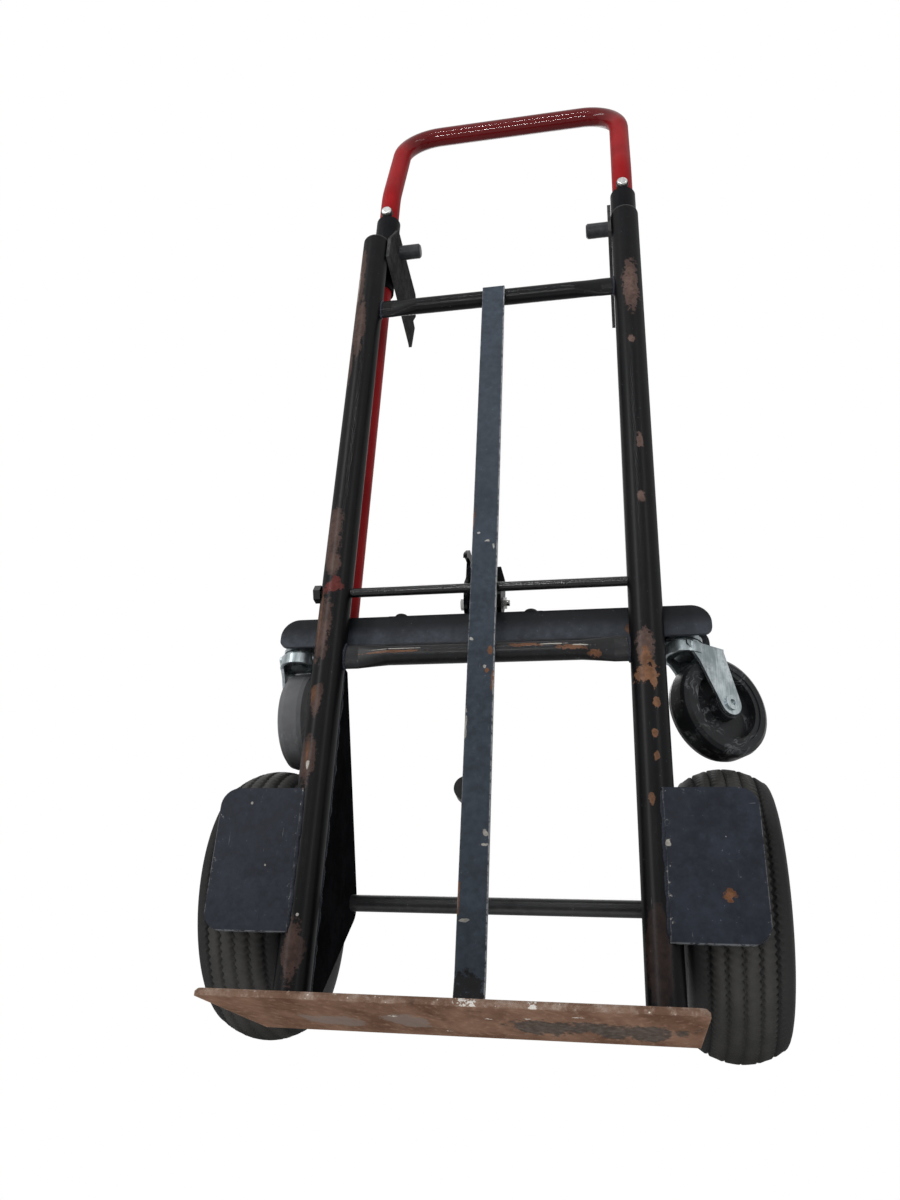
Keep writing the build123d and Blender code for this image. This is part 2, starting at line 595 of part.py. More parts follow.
tyre_half = TYRE_W / 2
bead_x = RIM_W / 2 - RIM_T - SIDE
tyre_seat = RIM_SEAT_R + SLIDE
outer_half = tyre_shell(WHEEL_R, tyre_half, bead_x, tyre_seat, 6)
inner_half = tyre_shell(WHEEL_R - TYRE_WALL - GROOVE_DEPTH, tyre_half - TYRE_WALL, bead_x - TYRE_WALL, tyre_seat, 6)
outer_line = outer_half + [(0, WHEEL_R)] + [(-x, r) for x, r in reversed(outer_half)]
inner_line = inner_half + [(0, WHEEL_R - TYRE_WALL - GROOVE_DEPTH)] + [(-x, r) for x, r in reversed(inner_half)]
tyre = turned_x(outer_line + list(reversed(inner_line)))
for index in range(GROOVES):
    groove_x = (index - (GROOVES - 1) / 2) * GROOVE_PITCH
    share = groove_x / (tyre_half * 0.84)
    floor_r = WHEEL_R - TREAD_DROP * share * share - GROOVE_DEPTH
    ring = rod_x(WHEEL_R * 1.1, groove_x - GROOVE_W / 2, groove_x + GROOVE_W / 2)
    tyre -= ring - rod_x(floor_r, groove_x - GROOVE_W, groove_x + GROOVE_W)


def tube_line(gap):
    """The inner tube's outline inside the tyre, gap away from the tyre and clear of the rim."""
    top = WHEEL_R - TYRE_WALL - GROOVE_DEPTH - gap
    half = tyre_half - TYRE_WALL - gap
    bead = bead_x - TYRE_WALL - gap
    side = tyre_shell(top, half, bead, tyre_seat + gap, 6)
    return side + [(0, top)] + [(-x, r) for x, r in reversed(side)]


inner_tube = turned_x(tube_line(SIDE)) - turned_x(tube_line(SIDE + TUBE_RUBBER))
rim_half_line = [
    (0, HUB_OD / 2),
    (RIM_T, HUB_OD / 2),
    (RIM_T, RIM_SEAT_R - RIM_T),
    (RIM_W / 2 - RIM_T, RIM_SEAT_R - RIM_T),
    (RIM_W / 2, RIM_SEAT_R),
    (RIM_W / 2, RIM_LIP_R),
    (RIM_W / 2 - RIM_T, RIM_LIP_R),
    (RIM_W / 2 - RIM_T, RIM_SEAT_R),
    (0, RIM_SEAT_R),
]
bolt_circle = PolarLocations(RIM_BOLT_CIRCLE_D / 2, RIM_BOLTS)
bolt_places = [(p.position.X, p.position.Y) for p in bolt_circle]
rim_holes = [rod_x(RIM_BOLT_D / 2, -RIM_W, RIM_W, y, z) for y, z in bolt_places]
valve_x = RIM_W / 4
valve_low = RIM_SEAT_R - RIM_T - VALVE_L
valve_hole = rod_z(VALVE_D / 2, 0, RIM_SEAT_R * 1.05, valve_x)
rim_cup = turned_x(rim_half_line)
rim_outer = rim_cup - rim_holes - valve_hole
rim_inner = mirror(rim_cup, about=Plane.YZ) - rim_holes
bearing_r = HUB_OD / 2 - HUB_WALL
hub = rod_x(HUB_OD / 2, -HUB_L / 2, HUB_L / 2) - rod_x(bearing_r - BEARING_SHOULDER, -HUB_L, HUB_L)
hub -= rod_x(bearing_r, HUB_L / 2 - BEARING_W, HUB_L / 2)
hub -= rod_x(bearing_r, -HUB_L / 2, -HUB_L / 2 + BEARING_W)
bearing = rod_x(bearing_r, HUB_L / 2 - BEARING_W, HUB_L / 2) - rod_x(AXLE_D / 2 + RUN, 0, HUB_L)
shield = rod_x(bearing_r - 2.5, HUB_L / 2 - 1, HUB_L / 2) - rod_x(AXLE_D / 2 + 3, 0, HUB_L)
bearing -= shield
wheel_bearings = group(bearing, other_side(bearing))


def rim_bolt(y, z):
    """A bolt and nut that clamp the two rim halves."""
    head = hex_x(RIM_BOLT_D * 1.6, RIM_T, RIM_T + RIM_BOLT_D * 0.65, y, z)
    shank = rod_x(RIM_BOLT_D / 2, -RIM_T - RIM_BOLT_D, RIM_T, y, z)
    nut = hex_x(RIM_BOLT_D * 1.6, -RIM_T - RIM_BOLT_D * 0.8, -RIM_T, y, z)
    return head + shank + nut


rim_bolts = group(*[rim_bolt(y, z) for y, z in bolt_places])
valve = rod_z(VALVE_D / 2, valve_low, RIM_SEAT_R, valve_x)
valve = chamfer(valve.edges().filter_by(GeomType.CIRCLE).sort_by(Axis.Z)[:1], VALVE_D * 0.15)
wheel_pieces = {
    "tyre": tyre,
    "inner_tube": inner_tube,
    "rim_outer": rim_outer,
    "rim_inner": rim_inner,
    "hub": hub,
    "wheel_bearings": wheel_bearings,
    "rim_bolts": rim_bolts,
    "valve": valve,
}

# Casters, made with the trail along +Y from a kingpin at the origin
fork_half = FORK_GAP / 2 + FORK_T
crown_back = CASTER_TRAIL * 0.9
crown_front = RACE_R + 3.5
crown_outline = [(-fork_half, -crown_front * 0.55), (fork_half, -crown_front * 0.55), (fork_half, crown_back), (-fork_half, crown_back)]
crown = extrude(make_face(Polyline(*[(x, y, CROWN_LOW) for x, y in crown_outline], close=True)), CROWN_T, dir=(0, 0, 1))
crown += rod_z(crown_front, CROWN_LOW, CROWN_TOP)
skirt = rod_z(crown_front, CROWN_LOW - CROWN_SKIRT, CROWN_LOW) - rod_z(crown_front - CROWN_WALL, CROWN_LOW - CROWN_SKIRT, CROWN_LOW)
crown += skirt - rod_x(CASTER_R + CROWN_CLEAR, -crown_front, crown_front, CASTER_TRAIL, CASTER_AXLE_Z)
leg_eye = (CASTER_TRAIL, CASTER_AXLE_Z)
leg_eye_r = CASTER_AXLE_D * 1.15
leg_front_top = (-crown_front * 0.55, CROWN_LOW)
leg_back_top = (crown_back, CROWN_LOW)
leg_knee = (CASTER_TRAIL * 0.06, CROWN_LOW - FORK_KNEE)
front_touch = tangent_point(leg_knee, leg_eye, leg_eye_r, -1)
back_touch = tangent_point(leg_back_top, leg_eye, leg_eye_r, 1)
leg_outline = [leg_front_top, leg_back_top, back_touch, leg_eye, front_touch, leg_knee]
fork_leg = plate_yz(leg_outline, FORK_GAP / 2, fork_half)
fork_leg += rod_x(leg_eye_r, FORK_GAP / 2, fork_half, CASTER_TRAIL, CASTER_AXLE_Z)
caster_bore = rod_x(CASTER_AXLE_D / 2, -fork_half * 2, fork_half * 2, CASTER_TRAIL, CASTER_AXLE_Z)
king_bore = rod_z(KINGPIN_D / 2 + RUN, CASTER_AXLE_Z, BEAM_TOP)
fork = crown + fork_leg + mirror(fork_leg, about=Plane.YZ) - caster_bore - king_bore
lower_race = rod_z(RACE_R, CROWN_TOP, RACE_SPLIT) - king_bore
upper_race = rod_z(RACE_R + 1, RACE_SPLIT + SIDE, BOSS_LOW) + rod_z(RACE_R - 2, BOSS_LOW, BEAM_INSIDE)
upper_race -= rod_z(KINGPIN_D / 2, CASTER_AXLE_Z, BEAM_TOP)
nut_top = CROWN_LOW - SIDE
kingpin = rod_z(KINGPIN_D / 2, nut_top - KING_NUT_T, BEAM_INSIDE)
kingpin += extrude(Plane.XY.offset(nut_top - KING_NUT_T) * RegularPolygon(KING_NUT_AF / math.sqrt(3), 6), KING_NUT_T)
rivet_end = fork_half + RIVET_T
caster_axle = rod_x(CASTER_AXLE_D / 2, -rivet_end, rivet_end, CASTER_TRAIL, CASTER_AXLE_Z)
rivet_head = rod_x(RIVET_R, fork_half, rivet_end, CASTER_TRAIL, CASTER_AXLE_Z)
caster_axle += rivet_head + mirror(rivet_head, about=Plane.YZ)
rivet_bore = rod_x(RIVET_BORE_D / 2, fork_half, rivet_end, CASTER_TRAIL, CASTER_AXLE_Z)
caster_axle -= rivet_bore + mirror(rivet_bore, about=Plane.YZ)
tread_in = CASTER_R - CASTER_TREAD_T
tread_half = CASTER_W / 2
tread_line = [
    (-tread_half, tread_in),
    (-tread_half, CASTER_R - 5),
    (-tread_half * 0.82, CASTER_R - 1.4),
    (-tread_half * 0.5, CASTER_R),
    (tread_half * 0.5, CASTER_R),
    (tread_half * 0.82, CASTER_R - 1.4),
    (tread_half, CASTER_R - 5),
    (tread_half, tread_in),
]
caster_tread = turned_x(tread_line, 0, CASTER_TRAIL, CASTER_AXLE_Z)
hub_half = FORK_GAP / 2 - SIDE
web_half = CASTER_WEB_T / 2
rim_in = tread_in - 5
caster_core_line = [
    (-hub_half, CASTER_AXLE_D / 2 + RUN),
    (-hub_half, CASTER_HUB_R),
    (-web_half, CASTER_HUB_R),
    (-web_half, rim_in),
    (-tread_half + 1, rim_in),
    (-tread_half + 1, tread_in),
    (tread_half - 1, tread_in),
    (tread_half - 1, rim_in),
    (web_half, rim_in),
    (web_half, CASTER_HUB_R),
    (hub_half, CASTER_HUB_R),
    (hub_half, CASTER_AXLE_D / 2 + RUN),
]
caster_core = turned_x(caster_core_line, 0, CASTER_TRAIL, CASTER_AXLE_Z)
caster_pieces = {
    "fork": fork,
    "lower_race": lower_race,
    "caster_axle": caster_axle,
    "caster_tread": caster_tread,
    "caster_core": caster_core,
}
caster_places = {
    "left": Pos(KING_LEFT, LEG_Y, 0) * Rot(0, 0, CASTER_LEFT_TURN),
    "right": Pos(KING_RIGHT, LEG_Y, 0) * Rot(0, 0, CASTER_RIGHT_TURN),
}
king_places = [Pos(KING_LEFT, LEG_Y, 0), Pos(KING_RIGHT, LEG_Y, 0)]

# Every piece under its own name
pieces = {
    "main_tube_left": main_tube_left,
    "main_tube_right": main_tube_right,
    "tube_caps": tube_caps,
    "toe_plate": toe_plate,
    "top_crossbar": top_crossbar,
    "mid_crossbar": mid_crossbar,
    "centre_strap": centre_strap,
    "strap_bumper": strap_bumper,
    "latch_rod": latch_rod,
    "axle_bracket_left": axle_bracket_left,
    "axle_bracket_right": axle_bracket_right,
    "axle": axle,
    "axle_spacers": axle_spacers,
    "axle_washers": axle_washers,
    "cotter_pins": cotter_pins,
    "wheel_guard_left": wheel_guard_left,
    "wheel_guard_right": wheel_guard_right,
    "arm_plate_left": arm_plate_left,
    "arm_plate_right": arm_plate_right,
    "sleeve_left": sleeve_left,
    "sleeve_right": sleeve_right,
    "pivot_pin_left": pivot_pin_left,
    "pivot_pin_right": pivot_pin_right,
    "handle_loop": handle_loop,
    "stop_spacers": stop_spacers,
    "stop_screws": stop_screws,
    "caster_beam": caster_beam,
    "beam_bolts": beam_bolts,
    "latch_lugs": latch_lugs,
    "latch_hook": latch_hook,
    "latch_pivot_bolt": latch_pivot_bolt,
    "latch_pivot_nut": latch_pivot_nut,
    "upper_races": group(*[place * upper_race for place in king_places]),
    "kingpins": group(*[place * kingpin for place in king_places]),
}
for name, shape in wheel_pieces.items():
    placed = Pos(WHEEL_X, AXLE_Y, AXLE_Z) * shape
    pieces[name + "_right"] = placed
    pieces[name + "_left"] = other_side(placed)
for side, place in caster_places.items():
    for name, shape in caster_pieces.items():
        pieces[name + "_" + side] = place * shape

os.makedirs("parts", exist_ok=True)
for name, shape in pieces.items():
    export_step(shape, "parts/" + name + ".step")
print(len(pieces), "pieces written")
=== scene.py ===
"""A worn convertible hand truck: ribbed tyres, weld runs and painted, rusted and plated finishes."""

from __future__ import annotations

import logging
from dataclasses import dataclass, field
from enum import Enum
from typing import Any, Sequence, Union

import bmesh
import bpy
import numpy as np
from mathutils import Matrix

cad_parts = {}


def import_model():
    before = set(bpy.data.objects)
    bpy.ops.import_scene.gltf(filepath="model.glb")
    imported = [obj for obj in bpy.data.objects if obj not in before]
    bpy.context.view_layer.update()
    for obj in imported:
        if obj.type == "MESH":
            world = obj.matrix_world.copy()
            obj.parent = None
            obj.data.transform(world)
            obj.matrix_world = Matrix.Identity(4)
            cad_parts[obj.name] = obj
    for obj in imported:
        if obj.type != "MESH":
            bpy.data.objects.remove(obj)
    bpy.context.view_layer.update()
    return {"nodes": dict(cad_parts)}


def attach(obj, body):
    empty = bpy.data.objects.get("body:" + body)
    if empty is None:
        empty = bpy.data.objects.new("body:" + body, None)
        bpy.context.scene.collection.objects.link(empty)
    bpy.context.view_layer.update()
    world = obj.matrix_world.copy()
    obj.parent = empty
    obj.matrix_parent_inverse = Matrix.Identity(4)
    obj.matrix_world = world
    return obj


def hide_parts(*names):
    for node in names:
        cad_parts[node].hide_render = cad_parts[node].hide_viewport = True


LOG = logging.getLogger("hand_truck")
RGB = tuple[float, float, float]
Vector = tuple[float, float, float]
Number = Union[float, "Sock"]

# Where the Mix node keeps its colours: factor, first, second and result
MIX_FACTOR, MIX_FIRST, MIX_SECOND, MIX_RESULT = 0, 6, 7, 2

# Points of a mesh that are closer than this are one, in metres
MERGE = 1e-6


class Axis(Enum):
    """An axis of the truck's frame, as its place in a position."""

    X = 0
    Y = 1
    Z = 2


class Side(Enum):
    """A side of the truck, seen from its load side, as a sign along X."""

    LEFT = -1
    RIGHT = 1

    @property
    def tail(self) -> str:
        """The ending of this side's node names."""
        return self.name.lower()


# Shader graphs


class Sock:
    """A number that varies over a surface: arithmetic on it adds Math nodes."""

    def __init__(self, graph: "Nodes", out: bpy.types.NodeSocket) -> None:
        """Wraps an output socket of a node tree."""
        self.graph = graph
        self.out = out

    def _math(self, operation: str, first: Number, second: Number = 0.0) -> "Sock":
        """The result of a new Math node, from its operation and two values."""
        return self.graph.node("ShaderNodeMath", {"operation": operation}, {0: first, 1: second})

    def __add__(self, other: Number) -> "Sock":
        """self + other."""
        return self._math("ADD", self, other)

    def __radd__(self, other: Number) -> "Sock":
        """other + self."""
        return self._math("ADD", other, self)

    def __sub__(self, other: Number) -> "Sock":
        """self - other."""
        return self._math("SUBTRACT", self, other)

    def __rsub__(self, other: Number) -> "Sock":
        """other - self."""
        return self._math("SUBTRACT", other, self)

    def __mul__(self, other: Number) -> "Sock":
        """self * other."""
        return self._math("MULTIPLY", self, other)

    def __rmul__(self, other: Number) -> "Sock":
        """other * self."""
        return self._math("MULTIPLY", other, self)

    def __abs__(self) -> "Sock":
        """The size of self."""
        return self._math("ABSOLUTE", self)

    def __pow__(self, other: Number) -> "Sock":
        """self raised to other."""
        return self._math("POWER", self, other)

    def upto(self, other: Number) -> "Sock":
        """The smaller of self and other."""
        return self._math("MINIMUM", self, other)

    def atleast(self, other: Number) -> "Sock":
        """The larger of self and other."""
        return self._math("MAXIMUM", self, other)

    def step(self, low: float, high: float) -> "Sock":
        """Rises smoothly from 0 at low to 1 at high, or falls where low is the larger.

        Args:
            low: the value that gives 0.
            high: the value that gives 1.

        Returns:
            The smooth step.
        """
        ends = (1.0, 0.0) if low > high else (0.0, 1.0)
        inputs = {
            "Value": self,
            "From Min": min(low, high),
            "From Max": max(low, high),
            "To Min": ends[0],
            "To Max": ends[1],
        }
        return self.graph.node("ShaderNodeMapRange", {"interpolation_type": "SMOOTHSTEP"}, inputs, "Result")


class Nodes:
    """A node tree, with a single way to add a node."""

    def __init__(self, tree: bpy.types.NodeTree) -> None:
        """Empties a tree to fill it anew."""
        self.tree = tree
        self.tree.nodes.clear()

    def feed(self, socket: bpy.types.NodeSocket, value: Any) -> None:
        """Links or sets one input.

        Args:
            socket: the input.
            value: a Sock, an output socket, a number or a tuple.
        """
        if isinstance(value, Sock):
            self.tree.links.new(value.out, socket)
        elif isinstance(value, bpy.types.NodeSocket):
            self.tree.links.new(value, socket)
        elif socket.type == "RGBA" and len(value) == 3:
            socket.default_value = (*value, 1.0)
        else:
            socket.default_value = value

    def node(self, kind: str, settings: dict[str, Any], inputs: dict[Any, Any], out: Any = 0) -> Sock:
        """Adds any node.

        Args:
            kind: the node's type.
            settings: its properties, which are set first.
            inputs: values or links of its sockets, by name or number.
            out: the output to return, by name or number.

        Returns:
            That output.
        """
        made = self.tree.nodes.new(kind)
        for key, value in settings.items():
            setattr(made, key, value)
        for key, value in inputs.items():
            self.feed(made.inputs[key], value)
        return Sock(self, made.outputs[out])


class Graph(Nodes):
    """One material's node tree: where a point lies, noise, colours and the principled shader."""

    def __init__(self, name: str) -> None:
        """Makes a material with only a principled shader.

        Args:
            name: the material's name.
        """
        self.material = bpy.data.materials.new(name)
        self.material.use_nodes = True
        super().__init__(self.material.node_tree)
        self.shader = self.tree.nodes.new("ShaderNodeBsdfPrincipled")
        self.output = self.tree.nodes.new("ShaderNodeOutputMaterial")
        self.tree.links.new(self.shader.outputs[0], self.output.inputs[0])

    def place(self) -> Sock:
        """The point in the truck's frame, in metres."""
        return self.node("ShaderNodeTexCoord", {}, {}, "Object")

    def along(self, place: Sock, axis: Axis) -> Sock:
        """One coordinate of a point."""
        return self.node("ShaderNodeSeparateXYZ", {}, {0: place}, axis.value)

    def stretch(self, place: Sock, by: Vector) -> Sock:
        """The point with each coordinate multiplied."""
        return self.node("ShaderNodeVectorMath", {"operation": "MULTIPLY"}, {0: place, 1: by})

    def noise(self, place: Sock, scale: float, detail: float = 4.0, rough: float = 0.55) -> Sock:
        """Cloudy noise about 0.5: scale is bumps a metre, detail octaves, and rough how small ones count."""
        inputs = {"Vector": place, "Scale": scale, "Detail": detail, "Roughness": rough}
        return self.node("ShaderNodeTexNoise", {}, inputs)

    def streaks(self, place: Sock, rates: Vector, detail: float = 4.0, rough: float = 0.55) -> Sock:
        """Noise that is drawn out: rates are its bumps a metre along each axis."""
        return self.noise(self.stretch(place, rates), 1.0, detail, rough)

    def tint(self, share: Number, first: Any, second: Any) -> Sock:
        """A colour between two.

        Args:
            share: 0 gives first and 1 gives second.
            first: a colour or its socket.
            second: a colour or its socket.

        Returns:
            The mixed colour.
        """
        settings = {"data_type": "RGBA", "clamp_factor": True}
        inputs = {MIX_FACTOR: share, MIX_FIRST: first, MIX_SECOND: second}
        return self.node("ShaderNodeMix", settings, inputs, MIX_RESULT)

    def relief(self, height: Number, strength: float, depth: float) -> Sock:
        """A bumped normal from a height of 0 to 1 that stands for depth metres."""
        inputs = {"Strength": strength, "Distance": depth, "Height": height}
        return self.node("ShaderNodeBump", {}, inputs, "Normal")

    def finish(self, **inputs: Any) -> bpy.types.Material:
        """Sets the shader's inputs.

        Args:
            inputs: socket names with underscores for spaces, and their values.

        Returns:
            The material.
        """
        for name, value in inputs.items():
            self.feed(self.shader.inputs[name.replace("_", " ")], value)
        return self.material


# Finishes


def scaled(colour: RGB, by: float) -> RGB:
    """A colour made darker or lighter."""
    red, green, blue = colour
    return red * by, green * by, blue * by


def span(first: Sock, second: Sock) -> Sock:
    """The length of two coordinates: the root of the sum of their squares."""
    return (first * first + second * second) ** 0.5


@dataclass(frozen=True)
class EdgeRub:
    """Paint that is rubbed near a plane across an axis, or on the beam a band of painted shade there, on both
    sides of the truck where both is set.
    """

    axis: Axis
    at: float
    reach: float
    both: bool = False
    strength: float = 0.2
    colour: RGB = (0.30, 0.31, 0.32)
    sparse: float = 0.42

    def far(self, graph: Graph, place: Sock) -> Sock:
        """How far a point lies from the plane, in metres."""
        at = graph.along(place, self.axis)
        return abs((abs(at) if self.both else at) - self.at)


@dataclass(frozen=True)
class Patch:
    """A worn place: a ragged ellipse, in X and Z on upright pieces and in X and Y on the toe plate."""

    x: float
    z: float
    half_x: float
    half_z: float
    inner: float = 0.86
    outer: float = 1.12

    def mask(self, x: Sock, z: Sock, ragged: Sock) -> Sock:
        """How much a point lies in the patch.

        Args:
            x: the point's first coordinate.
            z: the point's second coordinate.
            ragged: noise about 0 that moves the edge.

        Returns:
            1 inside and 0 outside.
        """
        across = (x - self.x) * (1.0 / self.half_x)
        up = (z - self.z) * (1.0 / self.half_z)
        return (span(across, up) + ragged).step(self.outer, self.inner)


def patches(*rows: tuple[float, float, float, float]) -> tuple[Patch, ...]:
    """Patches from rows of two coordinates and two half sizes, in metres."""
    return tuple(Patch(*row) for row in rows)


def spread(places: Sequence[Patch], x: Sock, z: Sock, ragged: Sock) -> Sock:
    """How much a point lies in any of some patches.

    Args:
        places: the patches, one or more.
        x: the point's first coordinate.
        z: the point's second coordinate.
        ragged: noise about 0 that moves the edges.

    Returns:
        1 inside and 0 outside.
    """
    inside = places[0].mask(x, z, ragged)
    for patch in places[1:]:
        inside = inside.atleast(patch.mask(x, z, ragged))
    return inside


@dataclass(frozen=True)
class Wear:
    """Worn patches, or patches of painted shade, that share a colour, a roughness, a raggedness of their
    edges and how well they cover.
    """

    colour: RGB
    places: tuple[Patch, ...]
    rough: float = 0.55
    ragged: float = 1.0
    cover: float = 1.0


@dataclass(frozen=True)
class WornPaint:
    """Dark paint with worn patches, chips at its edges, stains and scratches, and where given patches and
    bands of painted shade.
    """

    name: str
    paint: RGB
    gloss: float = 0.32
    stain: float = 0.35
    chips: float = 0.0
    scratches: float = 0.5
    specks: float = 0.3
    wear: tuple[Wear, ...] = ()
    edges: tuple[EdgeRub, ...] = ()
    rims: tuple[EdgeRub, ...] = ()
    rust: RGB = (0.062, 0.034, 0.025)
    orange: RGB = (0.17, 0.072, 0.032)
    bright: RGB = (0.30, 0.31, 0.32)
    film: RGB = (0.0060, 0.0046, 0.0042)
    shine: float = 0.13
    lacquer: float = 0.0
    lacquer_rough: float = 0.34
    front: float = 0.002
    front_blend: float = 0.006
    tones: tuple[float, float] = (0.62, 1.34)
    worn_tones: tuple[float, float] = (0.55, 1.3)
    chip_level: tuple[float, float] = (0.70, 0.73)
    bump: tuple[float, float] = (0.45, 0.0006)

    def make(self) -> bpy.types.Material:
        """Paint, a brown film in clouds, worn patches and patches of painted shade, chips where noise passes
        a level, and fine scratches.

        Returns:
            The material.
        """
        g = Graph(self.name)
        place = g.place()
        x, y, z = (g.along(place, axis) for axis in Axis)
        wide = g.noise(place, 7.0, detail=4.0, rough=0.6)
        cloud = g.noise(place, 34.0, detail=5.0, rough=0.62)
        grain = g.noise(place, 150.0, detail=4.0, rough=0.6)
        fine = g.noise(place, 330.0, detail=3.0, rough=0.6)
        speck = g.noise(place, 700.0, detail=2.0)
        # Uneven paint under a brown film
        tone = (cloud * 0.6 + grain * 0.4).step(0.34, 0.68)
        colour = g.tint(tone, *(scaled(self.paint, by) for by in self.tones))
        film = (wide * 0.55 + cloud * 0.45).step(0.46, 0.68) * self.stain
        colour = g.tint(film, colour, self.film)
        rough = grain * 0.16 + film * 0.25 + tone * 0.06 + (self.gloss - 0.12)
        # Worn patches and patches of painted shade, such as the strap's foot, on the load side only
        ragged = (cloud - 0.5) * 2.2 + (grain - 0.5) * 2.4 + (fine - 0.5) * 1.5
        mottle = (cloud * 0.4 + grain * 0.4 + fine * 0.2).step(0.38, 0.62)
        front = y.step(self.front + self.front_blend, self.front - self.front_blend)
        worn = None
        for layer in self.wear:
            inside = spread(layer.places, x, z, ragged * layer.ragged) * front * layer.cover
            flat = g.tint(mottle, *(scaled(layer.colour, by) for by in self.worn_tones))
            colour = g.tint(inside, colour, flat)
            rough = rough + inside * (layer.rough - self.gloss)
            worn = worn.atleast(inside) if worn else inside
        # Chips down to rusty metal, more of them near an edge
        level = cloud * 0.5 + grain * 0.5 + self.chips
        for edge in self.edges:
            level = level + edge.far(g, place).step(edge.reach, 0.0) * edge.strength
        bare = level.step(*self.chip_level)
        metal = g.tint(speck.step(0.45, 0.65), self.rust, self.orange)
        colour = g.tint(bare, colour, metal)
        # Edges rubbed pale or dark in a broken line, and a dark band of painted shade where the line is
        # nearly whole, as on the beam's top
        broken = grain * 0.5 + fine * 0.5
        for edge in self.rims:
            near = edge.far(g, place).step(edge.reach, edge.reach * 0.3)
            share = near * broken.step(edge.sparse, edge.sparse + 0.10) * edge.strength
            colour = g.tint(share, colour, edge.colour)
        # Fine scratches both ways, and specks
        streak = g.streaks(place, (420.0, 420.0, 30.0), detail=3.0).step(0.72, 0.78)
        cross = g.streaks(place, (70.0, 420.0, 420.0), detail=3.0).step(0.74, 0.79)
        dot = (speck * 0.6 + grain * 0.4).step(0.655, 0.70) * self.specks
        mark = (streak.atleast(cross) * cloud.step(0.40, 0.60) * self.scratches).atleast(dot)
        colour = g.tint(mark, colour, self.bright)
        rough = (rough + bare * 0.35).upto(0.95)
        height = 0.6 - bare * 0.4 + grain * 0.32 + speck * 0.10 + cloud * 0.25
        if worn:
            height = height - worn * 0.22
        return g.finish(
            Base_Color=colour,
            Roughness=rough,
            Specular_IOR_Level=self.shine,
            Coat_Weight=self.lacquer,
            Coat_Roughness=self.lacquer_rough,
            Normal=g.relief(height, *self.bump),
        )


@dataclass(frozen=True)
class RedEnamel:
    """Deep red paint on the handle, glossier on its top bar, whose red is darkened as painted shade."""

    name: str = "handle_red_enamel"
    dark: RGB = (0.20, 0.006, 0.008)
    light: RGB = (0.27, 0.010, 0.012)
    # Painted shade: the far darker red of the top bar
    bar: RGB = (0.064, 0.0022, 0.003)
    rubbed: RGB = (0.16, 0.012, 0.013)
    nicked: RGB = (0.055, 0.014, 0.012)
    bar_rise: tuple[float, float] = (1.165, 1.205)
    bump: tuple[float, float] = (0.05, 0.0004)

    def make(self) -> bpy.types.Material:
        """Red with faint clouding, painted shade that darkens the top bar, dull rubs and small dark nicks.

        Returns:
            The material.
        """
        g = Graph(self.name)
        place = g.place()
        cloud = g.noise(place, 14.0, detail=4.0)
        grain = g.noise(place, 260.0, detail=3.0)
        nick = g.noise(place, 85.0, detail=5.0, rough=0.7).step(0.70, 0.735)
        rub = g.streaks(place, (90.0, 90.0, 7.0), detail=4.0).step(0.60, 0.80)
        colour = g.tint(cloud.step(0.3, 0.75), self.dark, self.light)
        # high is 1 on the top bar: it darkens the red there as painted shade, and gives the bar its coat
        high = g.along(place, Axis.Z).step(*self.bar_rise)
        colour = g.tint(high * 0.85, colour, self.bar)
        colour = g.tint(rub * 0.35, colour, self.rubbed)
        colour = g.tint(nick * 0.8, colour, self.nicked)
        rough = (rub * 0.15 + nick * 0.2 + grain * 0.05 + 0.46 - high * 0.2).upto(1.0)
        height = grain * 0.3 - nick * 0.5 + cloud * 0.2
        return g.finish(
            Base_Color=colour,
            Roughness=rough,
            Specular_IOR_Level=0.05,
            Coat_Weight=high * 0.32,
            Coat_Roughness=0.04,
            Normal=g.relief(height, *self.bump),
        )


